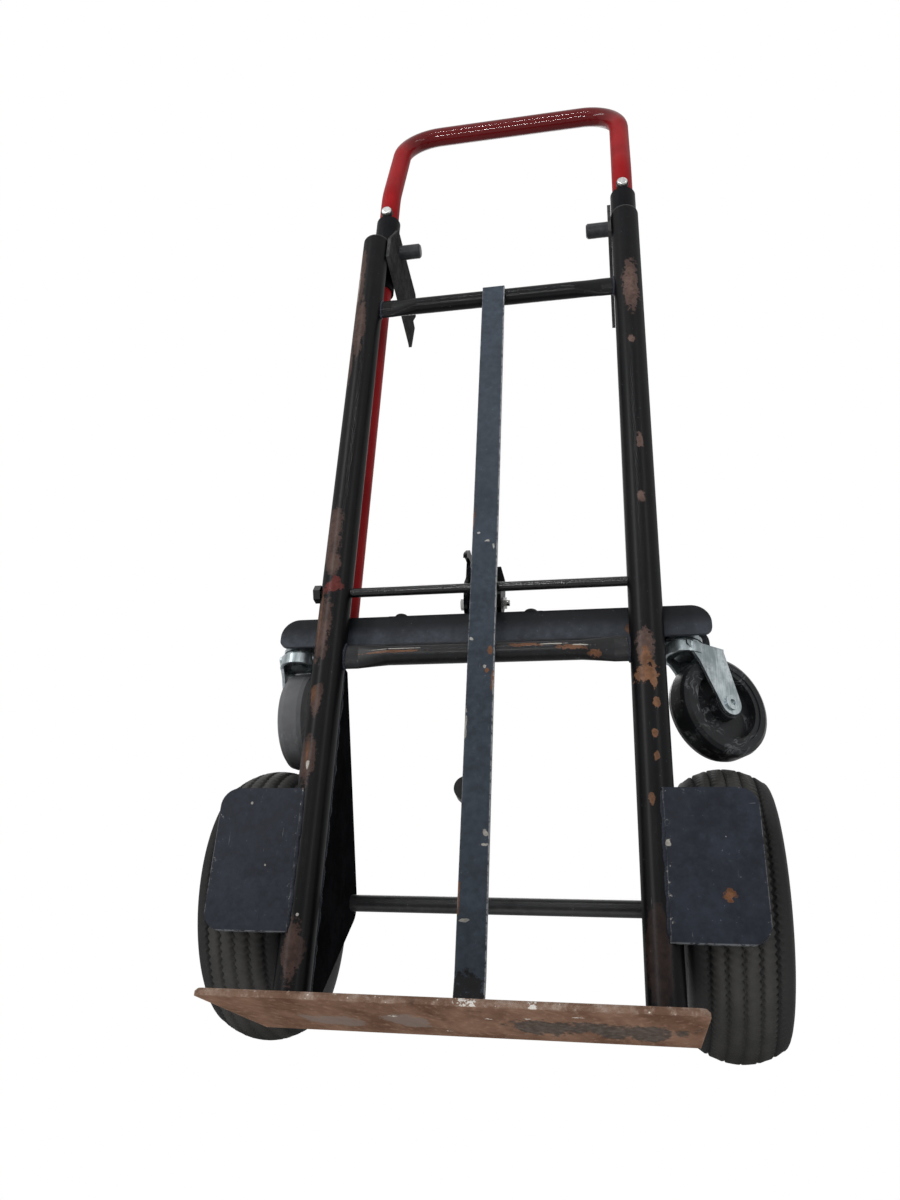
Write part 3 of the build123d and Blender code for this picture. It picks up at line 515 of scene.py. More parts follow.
@dataclass(frozen=True)
class RustedPlate:
    """The toe plate: brown rust, dark patches of paint that is left, and a bright worn lip."""

    name: str = "toe_plate_rust"
    front: float = -0.1515
    bare: tuple[Patch, ...] = patches((0.063, -0.055, 0.033, 0.046), (0.130, -0.055, 0.036, 0.042))
    faded: tuple[Patch, ...] = patches((-0.102, -0.046, 0.022, 0.030), (-0.037, -0.067, 0.016, 0.030))
    dents: tuple[Patch, ...] = patches(
        (-0.0454, -0.0853, 0.0035, 0.0030), (0.0263, -0.0926, 0.0030, 0.0030),
        (0.0550, -0.1017, 0.0032, 0.0028), (0.0905, -0.1178, 0.0045, 0.0030),
        (-0.0144, -0.0134, 0.0025, 0.0025), (0.0188, -0.1515, 0.0080, 0.0045),
        (0.0633, -0.1515, 0.0030, 0.0040),
    )
    rust: tuple[RGB, RGB] = ((0.135, 0.074, 0.048), (0.255, 0.162, 0.115))
    pale_rust: RGB = (0.340, 0.230, 0.172)
    deep_rust: RGB = (0.070, 0.044, 0.034)
    faded_paint: RGB = (0.235, 0.200, 0.180)
    grey_paint: tuple[RGB, RGB] = ((0.072, 0.062, 0.056), (0.125, 0.110, 0.100))
    scraped: RGB = (0.33, 0.24, 0.19)
    rubbed_lip: RGB = (0.36, 0.29, 0.25)
    dented: RGB = (0.72, 0.70, 0.66)
    lip_reach: tuple[float, float] = (0.009, 0.0005)
    bump: tuple[float, float] = (0.7, 0.0009)

    def make(self) -> bpy.types.Material:
        """Rust clouds with grey and faded patches, pale dents, faint scrapes along X and a pale front edge.

        Returns:
            The material.
        """
        g = Graph(self.name)
        place = g.place()
        x, y = g.along(place, Axis.X), g.along(place, Axis.Y)
        deep = g.stretch(place, (1.0, 0.4, 1.0))
        cloud = g.noise(deep, 22.0, detail=6.0, rough=0.62)
        wide = g.noise(deep, 34.0, detail=5.0, rough=0.65)
        grain = g.noise(deep, 190.0, detail=4.0, rough=0.65)
        speck = g.noise(place, 520.0, detail=2.0)
        scrape = g.streaks(place, (14.0, 300.0, 60.0), detail=4.0, rough=0.65)
        lip = abs(y - self.front).step(*self.lip_reach)
        ragged = (cloud - 0.5) * 2.4 + (wide - 0.5) * 2.6 + (grain - 0.5) * 1.2
        rust = g.tint(cloud.step(0.32, 0.68), *self.rust)
        rust = g.tint(grain.step(0.50, 0.72) * 0.6, rust, self.pale_rust)
        rust = g.tint((wide * 0.5 + grain * 0.5).step(0.42, 0.34) * 0.75, rust, self.deep_rust)
        colour = g.tint(spread(self.faded, x, y, ragged) * 0.7, rust, self.faded_paint)
        grey = spread(self.bare, x, y, ragged).atleast((wide * 0.7 + grain * 0.3).step(0.62, 0.68) * 0.6)
        colour = g.tint(grey * 0.85, colour, g.tint(grain.step(0.35, 0.65), *self.grey_paint))
        colour = g.tint(scrape.step(0.64, 0.74) * 0.25, colour, self.scraped)
        worn = lip * (cloud * 0.5 + grain * 0.6).step(0.48, 0.70)
        colour = g.tint(worn * 0.6, colour, self.rubbed_lip)
        dent = spread(self.dents, x, y, ragged) * (speck * 0.5 + grain * 0.5).step(0.47, 0.53)
        chip = (speck * 0.55 + grain * 0.45 + lip * 0.05).step(0.685, 0.71).atleast(dent)
        colour = g.tint(chip * 0.9, colour, self.dented)
        rough = (grain * 0.25 + 0.55 - worn * 0.15).upto(1.0)
        height = cloud * 0.35 + grain * 0.45 + (1 - grey) * 0.2
        normal = g.relief(height, *self.bump)
        return g.finish(Base_Color=colour, Roughness=rough, Specular_IOR_Level=0.1, Normal=normal)


@dataclass(frozen=True)
class PlatedSteel:
    """Plated metal, dull and mottled on the forks or bright on the screws, with grime."""

    name: str
    pale: RGB = (0.50, 0.51, 0.50)
    dull: RGB = (0.20, 0.20, 0.195)
    gloss: float = 0.30
    stain: float = 0.35
    grime: RGB = (0.045, 0.036, 0.028)
    bump: tuple[float, float] = (0.22, 0.0003)

    def make(self) -> bpy.types.Material:
        """Metal in soft clouds with streaks down it, and brown grime in clouds.

        Returns:
            The material.
        """
        g = Graph(self.name)
        place = g.place()
        streak = g.streaks(place, (520.0, 520.0, 45.0), detail=4.0, rough=0.65)
        wide = g.noise(place, 26.0, detail=3.0)
        cloud = g.noise(place, 70.0, detail=5.0, rough=0.6)
        grain = g.noise(place, 400.0, detail=3.0)
        colour = g.tint((wide * 0.4 + cloud * 0.3 + streak * 0.3).step(0.38, 0.62), self.dull, self.pale)
        grime = (cloud * 0.6 + grain * 0.4).step(0.52, 0.68) * self.stain
        colour = g.tint(grime, colour, self.grime)
        rough = (streak * 0.12 + grime * 0.5 + grain * 0.1 + (self.gloss - 0.10)).upto(1.0)
        return g.finish(
            Base_Color=colour,
            Metallic=0.92 - grime * 0.8,
            Roughness=rough,
            Normal=g.relief(streak * 0.4 + grain * 0.4, *self.bump),
        )


@dataclass(frozen=True)
class TreadRubber:
    """Tyre rubber, darker down in the grooves and dusty on the ribs."""

    name: str
    centre: tuple[float, float]
    radius: float
    black: RGB = (0.016, 0.016, 0.0165)
    dusty: RGB = (0.064, 0.062, 0.058)
    scuffed: RGB = (0.13, 0.125, 0.115)
    rib_depth: tuple[float, float] = (0.010, 0.003)
    bump: tuple[float, float] = (0.45, 0.0007)

    def make(self) -> bpy.types.Material:
        """Dust grows towards the outside and breaks up in clouds and fine scuffs.

        Returns:
            The material.
        """
        g = Graph(self.name)
        place = g.place()
        across = g.along(place, Axis.Y) - self.centre[0]
        up = g.along(place, Axis.Z) - self.centre[1]
        rib = span(across, up).step(*(self.radius - depth for depth in self.rib_depth))
        cloud = g.noise(place, 22.0, detail=5.0, rough=0.62)
        grain = g.noise(place, 330.0, detail=4.0, rough=0.65)
        scuff = g.noise(place, 75.0, detail=5.0, rough=0.7)
        dust = ((rib * 0.5 + 0.22) * (cloud * 0.7 + scuff * 0.7)).upto(1.0)
        colour = g.tint(dust, self.black, self.dusty)
        colour = g.tint(scuff.step(0.66, 0.76) * rib * 0.4, colour, self.scuffed)
        rough = (grain * 0.2 + cloud * 0.15 + 0.52).upto(1.0)
        normal = g.relief(grain * 0.6 + scuff * 0.4, *self.bump)
        return g.finish(Base_Color=colour, Roughness=rough, Specular_IOR_Level=0.12, Normal=normal)


@dataclass(frozen=True)
class ScuffedPlastic:
    """Moulded plastic or hard rubber with pale scuffs."""

    name: str
    base: RGB
    scuff: RGB
    gloss: float = 0.42
    amount: float = 0.5
    haze: float = 1.9
    bump: tuple[float, float] = (0.35, 0.0005)

    def make(self) -> bpy.types.Material:
        """An even colour crossed by stretched scuffs in two directions, with grit.

        Returns:
            The material.
        """
        g = Graph(self.name)
        place = g.place()
        warp = g.noise(place, 35.0, detail=3.0)
        slant = g.streaks(place, (330.0, 60.0, 120.0), detail=4.0, rough=0.65)
        other = g.streaks(place, (90.0, 260.0, 45.0), detail=4.0, rough=0.65)
        grain = g.noise(place, 420.0, detail=3.0)
        crossed = (other * 0.6 + warp * 0.4).step(0.585, 0.70)
        mark = (slant * 0.6 + warp * 0.4).step(0.56, 0.70).atleast(crossed) * self.amount
        haze = warp.step(0.35, 0.7) * 0.35
        colour = g.tint(haze, self.base, scaled(self.base, self.haze))
        colour = g.tint(mark * 0.75, colour, self.scuff)
        rough = (mark * 0.25 + grain * 0.12 + haze * 0.2 + (self.gloss - 0.1)).upto(1.0)
        normal = g.relief(grain * 0.5 - mark * 0.4, *self.bump)
        return g.finish(Base_Color=colour, Roughness=rough, Specular_IOR_Level=0.14, Normal=normal)


@dataclass(frozen=True)
class ScuffedWheel:
    """Black plastic of a small wheel, with grey arcs where it has rubbed."""

    name: str
    centre: Vector
    axis: Vector
    base: RGB = (0.0120, 0.0128, 0.0140)
    scuff: RGB = (0.125, 0.130, 0.135)
    haze: float = 3.2
    arcs: Vector = (330.0, 2.4, 90.0)
    bend: float = 24.0
    bump: tuple[float, float] = (0.3, 0.0005)

    def make(self) -> bpy.types.Material:
        """Arcs are noise of the distance from the axle, bent by clouds, and of the turn about it, in patches.

        Returns:
            The material.
        """
        g = Graph(self.name)
        place = g.place()
        across, along, _ = self.axis
        dot = {"operation": "DOT_PRODUCT"}
        out = g.node("ShaderNodeVectorMath", {"operation": "SUBTRACT"}, {0: place, 1: self.centre})
        depth = g.node("ShaderNodeVectorMath", dot, {0: out, 1: self.axis}, "Value")
        side = g.node("ShaderNodeVectorMath", dot, {0: out, 1: (along, -across, 0.0)}, "Value")
        up = g.along(out, Axis.Z)
        turn = g.node("ShaderNodeMath", {"operation": "ARCTAN2"}, {0: side, 1: up})
        cloud = g.noise(place, 38.0, detail=3.0)
        grain = g.noise(place, 420.0, detail=3.0)
        away = span(side, up) * self.arcs[0] + cloud * self.bend
        path = g.node("ShaderNodeCombineXYZ", {}, {0: away, 1: turn * self.arcs[1], 2: depth * self.arcs[2]})
        arc = g.noise(path, 1.0, detail=4.0, rough=0.6)
        mark = arc.step(0.51, 0.64) * g.noise(place, 48.0, detail=2.0).step(0.42, 0.56)
        haze = cloud.step(0.40, 0.70) * 0.30
        colour = g.tint(haze, self.base, scaled(self.base, self.haze))
        colour = g.tint(mark * 0.8, colour, self.scuff)
        rough = (mark * 0.2 + grain * 0.12 + haze * 0.3 + 0.26).upto(1.0)
        normal = g.relief(grain * 0.4 - mark * 0.4, *self.bump)
        return g.finish(Base_Color=colour, Roughness=rough, Specular_IOR_Level=0.16, Normal=normal)


class Finishes:
    """Every finish of the truck, made once and handed out by name."""

    def __init__(self) -> None:
        """Starts with nothing made."""
        self.made: dict[str, bpy.types.Material] = {}

    def get(self, finish: Any) -> bpy.types.Material:
        """The material of a finish.

        Args:
            finish: a finish with a name and a make method.

        Returns:
            The one material of that name.
        """
        if finish.name not in self.made:
            self.made[finish.name] = finish.make()
        return self.made[finish.name]


# Meshes


def skin(name: str, points: np.ndarray, wrap: tuple[bool, bool]) -> bpy.types.Object:
    """A surface from a grid of points, each cell a quad, with doubles at its poles and seams merged.

    Args:
        name: the piece's name.
        points: the grid, of shape (rows, columns, 3), in metres.
        wrap: whether rows and columns close on themselves.

    Returns:
        The new object, smooth and facing outwards.
    """
    rows, columns = points.shape[:2]
    first = np.arange(rows if wrap[0] else rows - 1)
    second = np.arange(columns if wrap[1] else columns - 1)
    i, j = np.meshgrid(first, second, indexing="ij")
    k, m = (i + 1) % rows, (j + 1) % columns
    corners = [i * columns + j, k * columns + j, k * columns + m, i * columns + m]
    quads = np.stack(corners, axis=-1).reshape(-1, 4)
    mesh = bpy.data.meshes.new(name)
    mesh.from_pydata(points.reshape(-1, 3).tolist(), [], quads.tolist())
    work = bmesh.new()
    work.from_mesh(mesh)
    bmesh.ops.remove_doubles(work, verts=work.verts, dist=MERGE)
    bmesh.ops.recalc_face_normals(work, faces=work.faces)
    work.to_mesh(mesh)
    work.free()
    mesh.polygons.foreach_set("use_smooth", np.ones(len(mesh.polygons), dtype=bool))
    mesh.update()
    piece = bpy.data.objects.new(name, mesh)
    bpy.context.scene.collection.objects.link(piece)
    return piece


def carried(path: np.ndarray, radii: np.ndarray, sides: int, closed: bool) -> np.ndarray:
    """Rings of a round section carried along a path.

    A point is its centre plus the radius times (cos, sin) in the plane across the path.

    Args:
        path: the centres, of shape (n, 3).
        radii: the radius at each centre.
        sides: points in a ring.
        closed: whether the path returns to its start.

    Returns:
        The grid of points, of shape (n, sides, 3).
    """
    ahead = np.roll(path, -1, axis=0) - np.roll(path, 1, axis=0)
    if not closed:
        ahead[0], ahead[-1] = path[1] - path[0], path[-1] - path[-2]
    ahead /= np.linalg.norm(ahead, axis=1, keepdims=True)
    lean = np.abs(ahead).max(axis=0)
    across = np.cross(ahead, np.eye(3)[int(lean.argmin())])
    across /= np.linalg.norm(across, axis=1, keepdims=True)
    over = np.cross(ahead, across)
    turn = np.linspace(0, 2 * np.pi, sides, endpoint=False)
    ring = across[:, None] * np.cos(turn)[None, :, None] + over[:, None] * np.sin(turn)[None, :, None]
    return path[:, None] + radii[:, None, None] * ring


@dataclass
class WeldRuns:
    """Rough weld beads where welded pieces meet."""

    radius: float = 0.0017
    pitch: float = 0.0034
    sides: int = 8
    lift: float = 0.0008
    out: float = 0.0006
    ring_points: int = 150
    spacing: float = 0.0008
    fewest: int = 12
    # Size and rate of the sine waves that bend a run, and how their start goes with its height
    bends: tuple[tuple[float, float], ...] = ((0.0005, 190.0), (0.0003, 470.0))
    phase: float = 40.0
    bend_way: Vector = (0.7, 0.3, 0.0)
    # The bead's thickness: a plain share, the share of its ripples, and two slower waves
    plain: float = 0.85
    ripple: float = 0.18
    swells: tuple[tuple[float, float], ...] = ((0.14, 311.0), (0.10, 97.0))
    taper: int = 16
    runs: list[tuple[str, np.ndarray, bool]] = field(default_factory=list)

    def add(self, body: str, path: np.ndarray, closed: bool = False) -> None:
        """Keeps one run: the body it rides on, its centre line, and whether it goes all the way round."""
        self.runs.append((body, path, closed))

    def ring(self, body: str, foot: Vector, radius: float) -> None:
        """A level run round an upright tube's foot: centre plus radius times (cos, sin, 0).

        Args:
            body: the body that it rides on.
            foot: the middle of the tube's foot.
            radius: the tube's radius.
        """
        turn = np.linspace(0, 2 * np.pi, self.ring_points, endpoint=False)
        circle = np.stack([np.cos(turn), np.sin(turn), np.zeros_like(turn)], axis=1)
        self.add(body, np.add(foot, (0.0, 0.0, self.lift)) + (radius + self.out) * circle, True)

    def line(self, body: str, start: Vector, end: Vector) -> None:
        """A straight run that wanders a little: start to end plus two small sine waves.

        Args:
            body: the body that it rides on.
            start: where it starts.
            end: where it ends.
        """
        length = float(np.linalg.norm(np.subtract(end, start)))
        share = np.linspace(0, 1, max(self.fewest, int(length / self.spacing)))[:, None]
        path = np.array(start) * (1 - share) + np.array(end) * share
        (wide, slow), (narrow, fast) = self.bends
        bend = wide * np.sin(share * length * slow + start[2] * self.phase)
        bend = bend + narrow * np.sin(share * length * fast)
        self.add(body, path + bend * np.array([self.bend_way]))

    def build(self, finish: bpy.types.Material) -> list[bpy.types.Object]:
        """Makes the beads, closed to a point at open ends.

        The radius along a run is a plain share, plus ripples as the size of a sine, plus two slower sines.

        Args:
            finish: the material of the beads.

        Returns:
            One object for each run.
        """
        made = []
        for number, (body, path, closed) in enumerate(self.runs):
            step = np.diff(path, axis=0, append=path[:1] if closed else path[-1:])
            run = np.cumsum(np.linalg.norm(step, axis=1))
            share = self.plain + self.ripple * np.abs(np.sin(np.pi * run / self.pitch))
            for swell, rate in self.swells:
                share = share + swell * np.sin(run * rate)
            radii = self.radius * share
            if not closed:
                along = np.linspace(-1, 1, len(path))
                radii = radii * np.sqrt(np.clip(1 - along**self.taper, 0, 1))
            points = carried(path, radii, self.sides, closed)
            piece = skin(f"weld_run_{number:02d}", points, (closed, True))
            piece.data.materials.append(finish)
            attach(piece, body)
            made.append(piece)
        return made


# Sub-assemblies


@dataclass
class Part:
    """Common ground of the sub-assemblies: the loaded nodes and the finishes."""

    nodes: dict[str, bpy.types.Object]
    finishes: Finishes

    def coat(self, finish: Any, *names: str) -> None:
        """Puts one finish on nodes.

        Args:
            finish: the finish.
            names: the nodes.
        """
        material = self.finishes.get(finish)
        for name in names:
            slots = self.nodes[name].data.materials
            slots.clear()
            slots.append(material)
            LOG.info("%s: %s", name, finish.name)


BLACK: RGB = (0.0016, 0.0018, 0.0026)
BLUE_BLACK: RGB = (0.031, 0.041, 0.055)
GUARD_BLACK: RGB = (0.0185, 0.0225, 0.0325)
BAR_BLACK: RGB = (0.012, 0.0125, 0.014)
BRACKET_BLACK: RGB = (0.0070, 0.0072, 0.0082)
ARM_GREY: RGB = (0.050, 0.050, 0.051)
RIM_GREY: RGB = (0.055, 0.056, 0.058)
BEAM_BLUE: RGB = (0.040, 0.046, 0.057)
# Painted shade: the dark band along the top of the beam's front
BEAM_TOP_SHADE: RGB = (0.0045, 0.005, 0.0065)
SLEEVE_BLACK: RGB = (0.0065, 0.0068, 0.0078)
PIN_GREY: RGB = (0.034, 0.036, 0.039)
BOLT_BLACK: RGB = (0.014, 0.014, 0.015)
# Painted shade for the foot of the strap, above the toe plate
STRAP_FOOT_SHADE: RGB = (0.008, 0.0085, 0.010)
DULL_BROWN: RGB = (0.064, 0.038, 0.031)
DARK_BROWN: RGB = (0.034, 0.020, 0.018)
PLUM_BROWN: RGB = (0.088, 0.055, 0.046)
RUST_ORANGE: RGB = (0.150, 0.066, 0.032)
BRIGHT_RUST: RGB = (0.175, 0.085, 0.046)
OLD_RED: RGB = (0.120, 0.024, 0.020)
PALE: RGB = (0.42, 0.40, 0.36)
SCUFF_GREY: RGB = (0.06, 0.06, 0.06)

LEFT_WEAR: tuple[Wear, ...] = (
    Wear(DULL_BROWN, patches(
        (-0.1630, 0.845, 0.0050, 0.052), (-0.1580, 0.762, 0.0070, 0.040), (-0.1650, 0.705, 0.0035, 0.030),
        (-0.1600, 0.470, 0.0100, 0.036), (-0.1550, 0.437, 0.0090, 0.014), (-0.1600, 0.362, 0.0105, 0.034),
        (-0.1560, 0.285, 0.0060, 0.016), (-0.1580, 0.226, 0.0080, 0.022), (-0.1520, 0.055, 0.0090, 0.027),
    ), rough=0.45, ragged=0.6, cover=0.9),
    Wear(RUST_ORANGE, patches(
        (-0.1625, 0.372, 0.0011, 0.036), (-0.1600, 0.292, 0.0030, 0.008), (-0.1655, 0.815, 0.0007, 0.070),
        (-0.1590, 0.232, 0.0020, 0.010),
    ), rough=0.5, cover=0.6),
    Wear(OLD_RED, patches(
        (-0.1525, 0.409, 0.0095, 0.0065), (-0.1500, 0.417, 0.0040, 0.004),
    ), rough=0.5, ragged=0.8, cover=0.8),
    Wear(PALE, patches(
        (-0.1572, 0.221, 0.0016, 0.0046), (-0.1500, 0.086, 0.0013, 0.0016), (-0.1648, 0.835, 0.0005, 0.026),
    )),
)
RIGHT_WEAR: tuple[Wear, ...] = (
    Wear(PLUM_BROWN, patches(
        (0.1550, 0.784, 0.0085, 0.034), (0.1525, 0.703, 0.0042, 0.006), (0.1555, 0.565, 0.0036, 0.011),
        (0.1540, 0.497, 0.0042, 0.007), (0.1500, 0.333, 0.0075, 0.016),
    ), rough=0.5, ragged=0.7),
    Wear(DARK_BROWN, patches((0.1480, 0.062, 0.0100, 0.040)), rough=0.4, ragged=0.35, cover=0.7),
    Wear(BRIGHT_RUST, patches(
        (0.1500, 0.322, 0.0040, 0.008), (0.1500, 0.304, 0.0100, 0.008), (0.1560, 0.300, 0.0040, 0.012),
        (0.1572, 0.276, 0.0034, 0.0055), (0.1545, 0.247, 0.0026, 0.0045), (0.1550, 0.226, 0.0024, 0.0035),
        (0.1490, 0.188, 0.0020, 0.004),
    )),
)
STRAP_WEAR_AND_SHADE: tuple[Wear, ...] = (
    # Painted shade: the strap's foot darkened across its whole width
    Wear(STRAP_FOOT_SHADE, patches((-0.002, 0.020, 0.016, 0.019))),
    Wear(RUST_ORANGE, patches(
        (0.0085, 0.333, 0.0022, 0.0045), (0.0060, 0.312, 0.0018, 0.0025), (0.0118, 0.300, 0.0016, 0.008),
        (-0.0120, 0.480, 0.0010, 0.010), (-0.0120, 0.105, 0.0012, 0.012),
    )),
    Wear(PALE, patches(
        (-0.0065, 0.4640, 0.0030, 0.0016), (0.0020, 0.4545, 0.0035, 0.0012),
        (0.0090, 0.4470, 0.0012, 0.0030), (-0.0100, 0.3450, 0.0020, 0.0022),
        (0.0040, 0.3155, 0.0014, 0.0018), (0.0080, 0.1480, 0.0040, 0.0016),
        (0.0095, 0.1580, 0.0024, 0.0030), (-0.0070, 0.0850, 0.0035, 0.0012),
        (-0.0118, 0.2550, 0.0008, 0.0140),
    ), rough=0.5, ragged=1.3, cover=0.75),
)
BAR_WEAR: tuple[Wear, ...] = (
    Wear(RUST_ORANGE, patches(
        (0.043, 0.340, 0.0130, 0.0022), (0.083, 0.336, 0.0110, 0.0026), (0.105, 0.331, 0.0050, 0.0030),
        (-0.085, 0.337, 0.0300, 0.0012), (0.141, 0.345, 0.0030, 0.0060),
    ), rough=0.55, cover=0.85),
    Wear(PALE, patches(
        (0.066, 0.340, 0.0120, 0.0006), (0.092, 0.338, 0.0080, 0.0006), (-0.080, 0.340, 0.0250, 0.0004),
    ), rough=0.4),
)
BEAM_WEAR: tuple[Wear, ...] = (
    Wear(RUST_ORANGE, patches((0.136, 0.366, 0.0035, 0.0050)), rough=0.55, cover=0.7),
)
GUARD_WEAR: tuple[Wear, ...] = (
    Wear(RUST_ORANGE, patches((0.2052, 0.1084, 0.0042, 0.0048))),
    Wear(PALE, patches(
        (0.1605, 0.1510, 0.0020, 0.0048), (-0.2050, 0.1838, 0.0009, 0.0011),
        (-0.1848, 0.1276, 0.0006, 0.0008), (0.2060, 0.1560, 0.0006, 0.0007),
    ), rough=0.5, ragged=1.4, cover=0.8),
)


@dataclass
class MainFrame(Part):
    """Uprights, crossbars, strap, toe plate, guards, brackets, arms and axle."""

    tube_x: float = 0.1524
    tube_r: float = 0.015875
    plate_top: float = 0.005
    bar_heights: tuple[float, float] = (0.800, 0.337)
    flat_half: tuple[float, float] = (0.0045, 0.013)
    strap_half: float = 0.0127
    guard_span: tuple[float, float] = (0.071, 0.198)
    guard_edge: float = 0.2349
    guard_inner: float = 0.1574
    end_points: int = 130
    # Straight welds of the right side, start and end: guard, bracket and arm
    side_runs: tuple[tuple[Vector, Vector], ...] = (
        ((0.1570, -0.0150, 0.074), (0.1570, -0.0150, 0.196)),
        ((0.1389, 0.0098, 0.020), (0.1389, 0.0098, 0.325)),
        ((0.1366, 0.0040, 0.885), (0.1366, 0.0040, 0.905)),
    )
    strap_run: tuple[Vector, Vector] = ((-0.012, -0.0159, 0.0058), (0.012, -0.0159, 0.0058))

    def strap_paint(self) -> WornPaint:
        """The strap's paint, rubbed along both of its edges, with painted shade at its foot.

        Returns:
            The finish.
        """
        edge = self.strap_half
        return WornPaint(
            "strap_paint", BLUE_BLACK, gloss=0.44, stain=0.45, chips=-0.06, scratches=0.55, specks=0.4,
            wear=STRAP_WEAR_AND_SHADE,
            edges=(EdgeRub(Axis.X, edge, 0.0022, both=True, strength=0.15),),
            rims=(
                EdgeRub(Axis.X, edge, 0.0013, strength=0.75),
                EdgeRub(Axis.X, -edge, 0.0009, strength=0.35),
            ),
        )

    def guard_paint(self) -> WornPaint:
        """The wheel guards' paint, with chipped and pale edges.

        Returns:
            The finish.
        """
        low, high = self.guard_span
        edge, inner = self.guard_edge, self.guard_inner
        return WornPaint(
            "guard_paint", GUARD_BLACK, gloss=0.42, stain=0.5, chips=-0.06, scratches=0.35, specks=0.35,
            wear=GUARD_WEAR,
            edges=(
                EdgeRub(Axis.X, edge, 0.003, both=True, strength=0.13),
                EdgeRub(Axis.Z, low, 0.003, strength=0.13),
                EdgeRub(Axis.Z, high, 0.003, strength=0.14),
                EdgeRub(Axis.X, inner, 0.003, both=True, strength=0.12),
            ),
            rims=(
                EdgeRub(Axis.Z, low, 0.0012, strength=0.35),
                EdgeRub(Axis.X, inner, 0.0020, both=True, strength=0.22),
                EdgeRub(Axis.X, edge, 0.0009, both=True, strength=0.25),
                EdgeRub(Axis.X, edge, 0.0055, both=True, strength=0.8, colour=PALE, sparse=0.585),
                EdgeRub(Axis.X, inner, 0.0060, both=True, strength=0.8, colour=PALE, sparse=0.580),
                EdgeRub(Axis.Z, high, 0.0060, strength=0.6, colour=PALE, sparse=0.60),
            ),
        )

    def dress(self) -> None:
        """Paints every node of the frame."""
        left = WornPaint(
            "upright_left_paint", BLACK, gloss=0.38, stain=0.55, chips=-0.02, scratches=0.5, specks=0.2,
            wear=LEFT_WEAR, shine=0.0, lacquer=0.24,
        )
        right = WornPaint(
            "upright_right_paint", BLACK, gloss=0.38, stain=0.35, chips=-0.02, scratches=0.5, specks=0.3,
            wear=RIGHT_WEAR, shine=0.0, lacquer=0.24,
        )
        upper = WornPaint(
            "crossbar_paint", BLACK, gloss=0.34, stain=0.5, chips=-0.01, scratches=0.4, specks=0.3,
            shine=0.03, lacquer=0.22,
        )
        middle = WornPaint(
            "mid_crossbar_paint", BAR_BLACK, gloss=0.36, stain=0.4, chips=0.0, scratches=0.9, specks=0.6,
            wear=BAR_WEAR, shine=0.05, lacquer=0.30,
        )
        rod = WornPaint(
            "rod_paint", BLACK, gloss=0.26, stain=0.4, chips=0.0, scratches=0.5, specks=0.4, shine=0.45,
        )
        bracket = WornPaint(
            "bracket_paint", BRACKET_BLACK, gloss=0.5, stain=0.12, chips=-0.05, scratches=0.1, specks=0.05,
            shine=0.0,
        )
        axle = WornPaint(
            "axle_paint", BAR_BLACK, gloss=0.36, stain=0.3, chips=-0.04, scratches=0.3, specks=0.3, shine=0.3,
        )
        arm = WornPaint(
            "arm_paint", ARM_GREY, gloss=0.5, stain=0.08, chips=-0.06, scratches=0.2, specks=0.15, shine=0.0,
        )
        cap = ScuffedPlastic("cap_plastic", (0.012, 0.012, 0.012), SCUFF_GREY, gloss=0.45, amount=0.3)
        self.coat(left, "main_tube_left")
        self.coat(right, "main_tube_right")
        self.coat(upper, "top_crossbar")
        self.coat(middle, "mid_crossbar")
        self.coat(rod, "latch_rod")
        self.coat(self.strap_paint(), "centre_strap")
        self.coat(self.guard_paint(), "wheel_guard_left", "wheel_guard_right")
        self.coat(bracket, "axle_bracket_left", "axle_bracket_right")
        self.coat(axle, "axle", "axle_spacers")
        self.coat(arm, "arm_plate_left", "arm_plate_right")
        self.coat(RustedPlate(), "toe_plate")
        self.coat(cap, "tube_caps", "strap_bumper")
        self.coat(PlatedSteel("axle_plating", gloss=0.34), "axle_washers", "cotter_pins")

    def bar_end(self, side: Side, height: float) -> np.ndarray:
        """The closed line where a crossbar's flattened end meets an upright.

        It is an ellipse in Y and Z, laid on the upright: x is the upright's centre less the root of the
        radius squared less y squared.

        Args:
            side: the upright's side.
            height: the crossbar's height.

        Returns:
            The points of the line.
        """
        turn = np.linspace(0, 2 * np.pi, self.end_points, endpoint=False)
        y, z = self.flat_half[0] * np.cos(turn), self.flat_half[1] * np.sin(turn)
        x = self.tube_x - np.sqrt(self.tube_r**2 - y**2)
        return np.stack([side.value * x, y, height + z], axis=1)

    def weld(self, welds: WeldRuns) -> None:
        """Adds the frame's weld runs.

        Args:
            welds: where they are kept.
        """
        for side in Side:
            s = side.value
            welds.ring("frame", (s * self.tube_x, 0.0, self.plate_top), self.tube_r)
            for height in self.bar_heights:
                welds.add("frame", self.bar_end(side, height), True)
            for run in self.side_runs:
                welds.line("frame", *((s * x, y, z) for x, y, z in run))
        welds.line("frame", *self.strap_run)


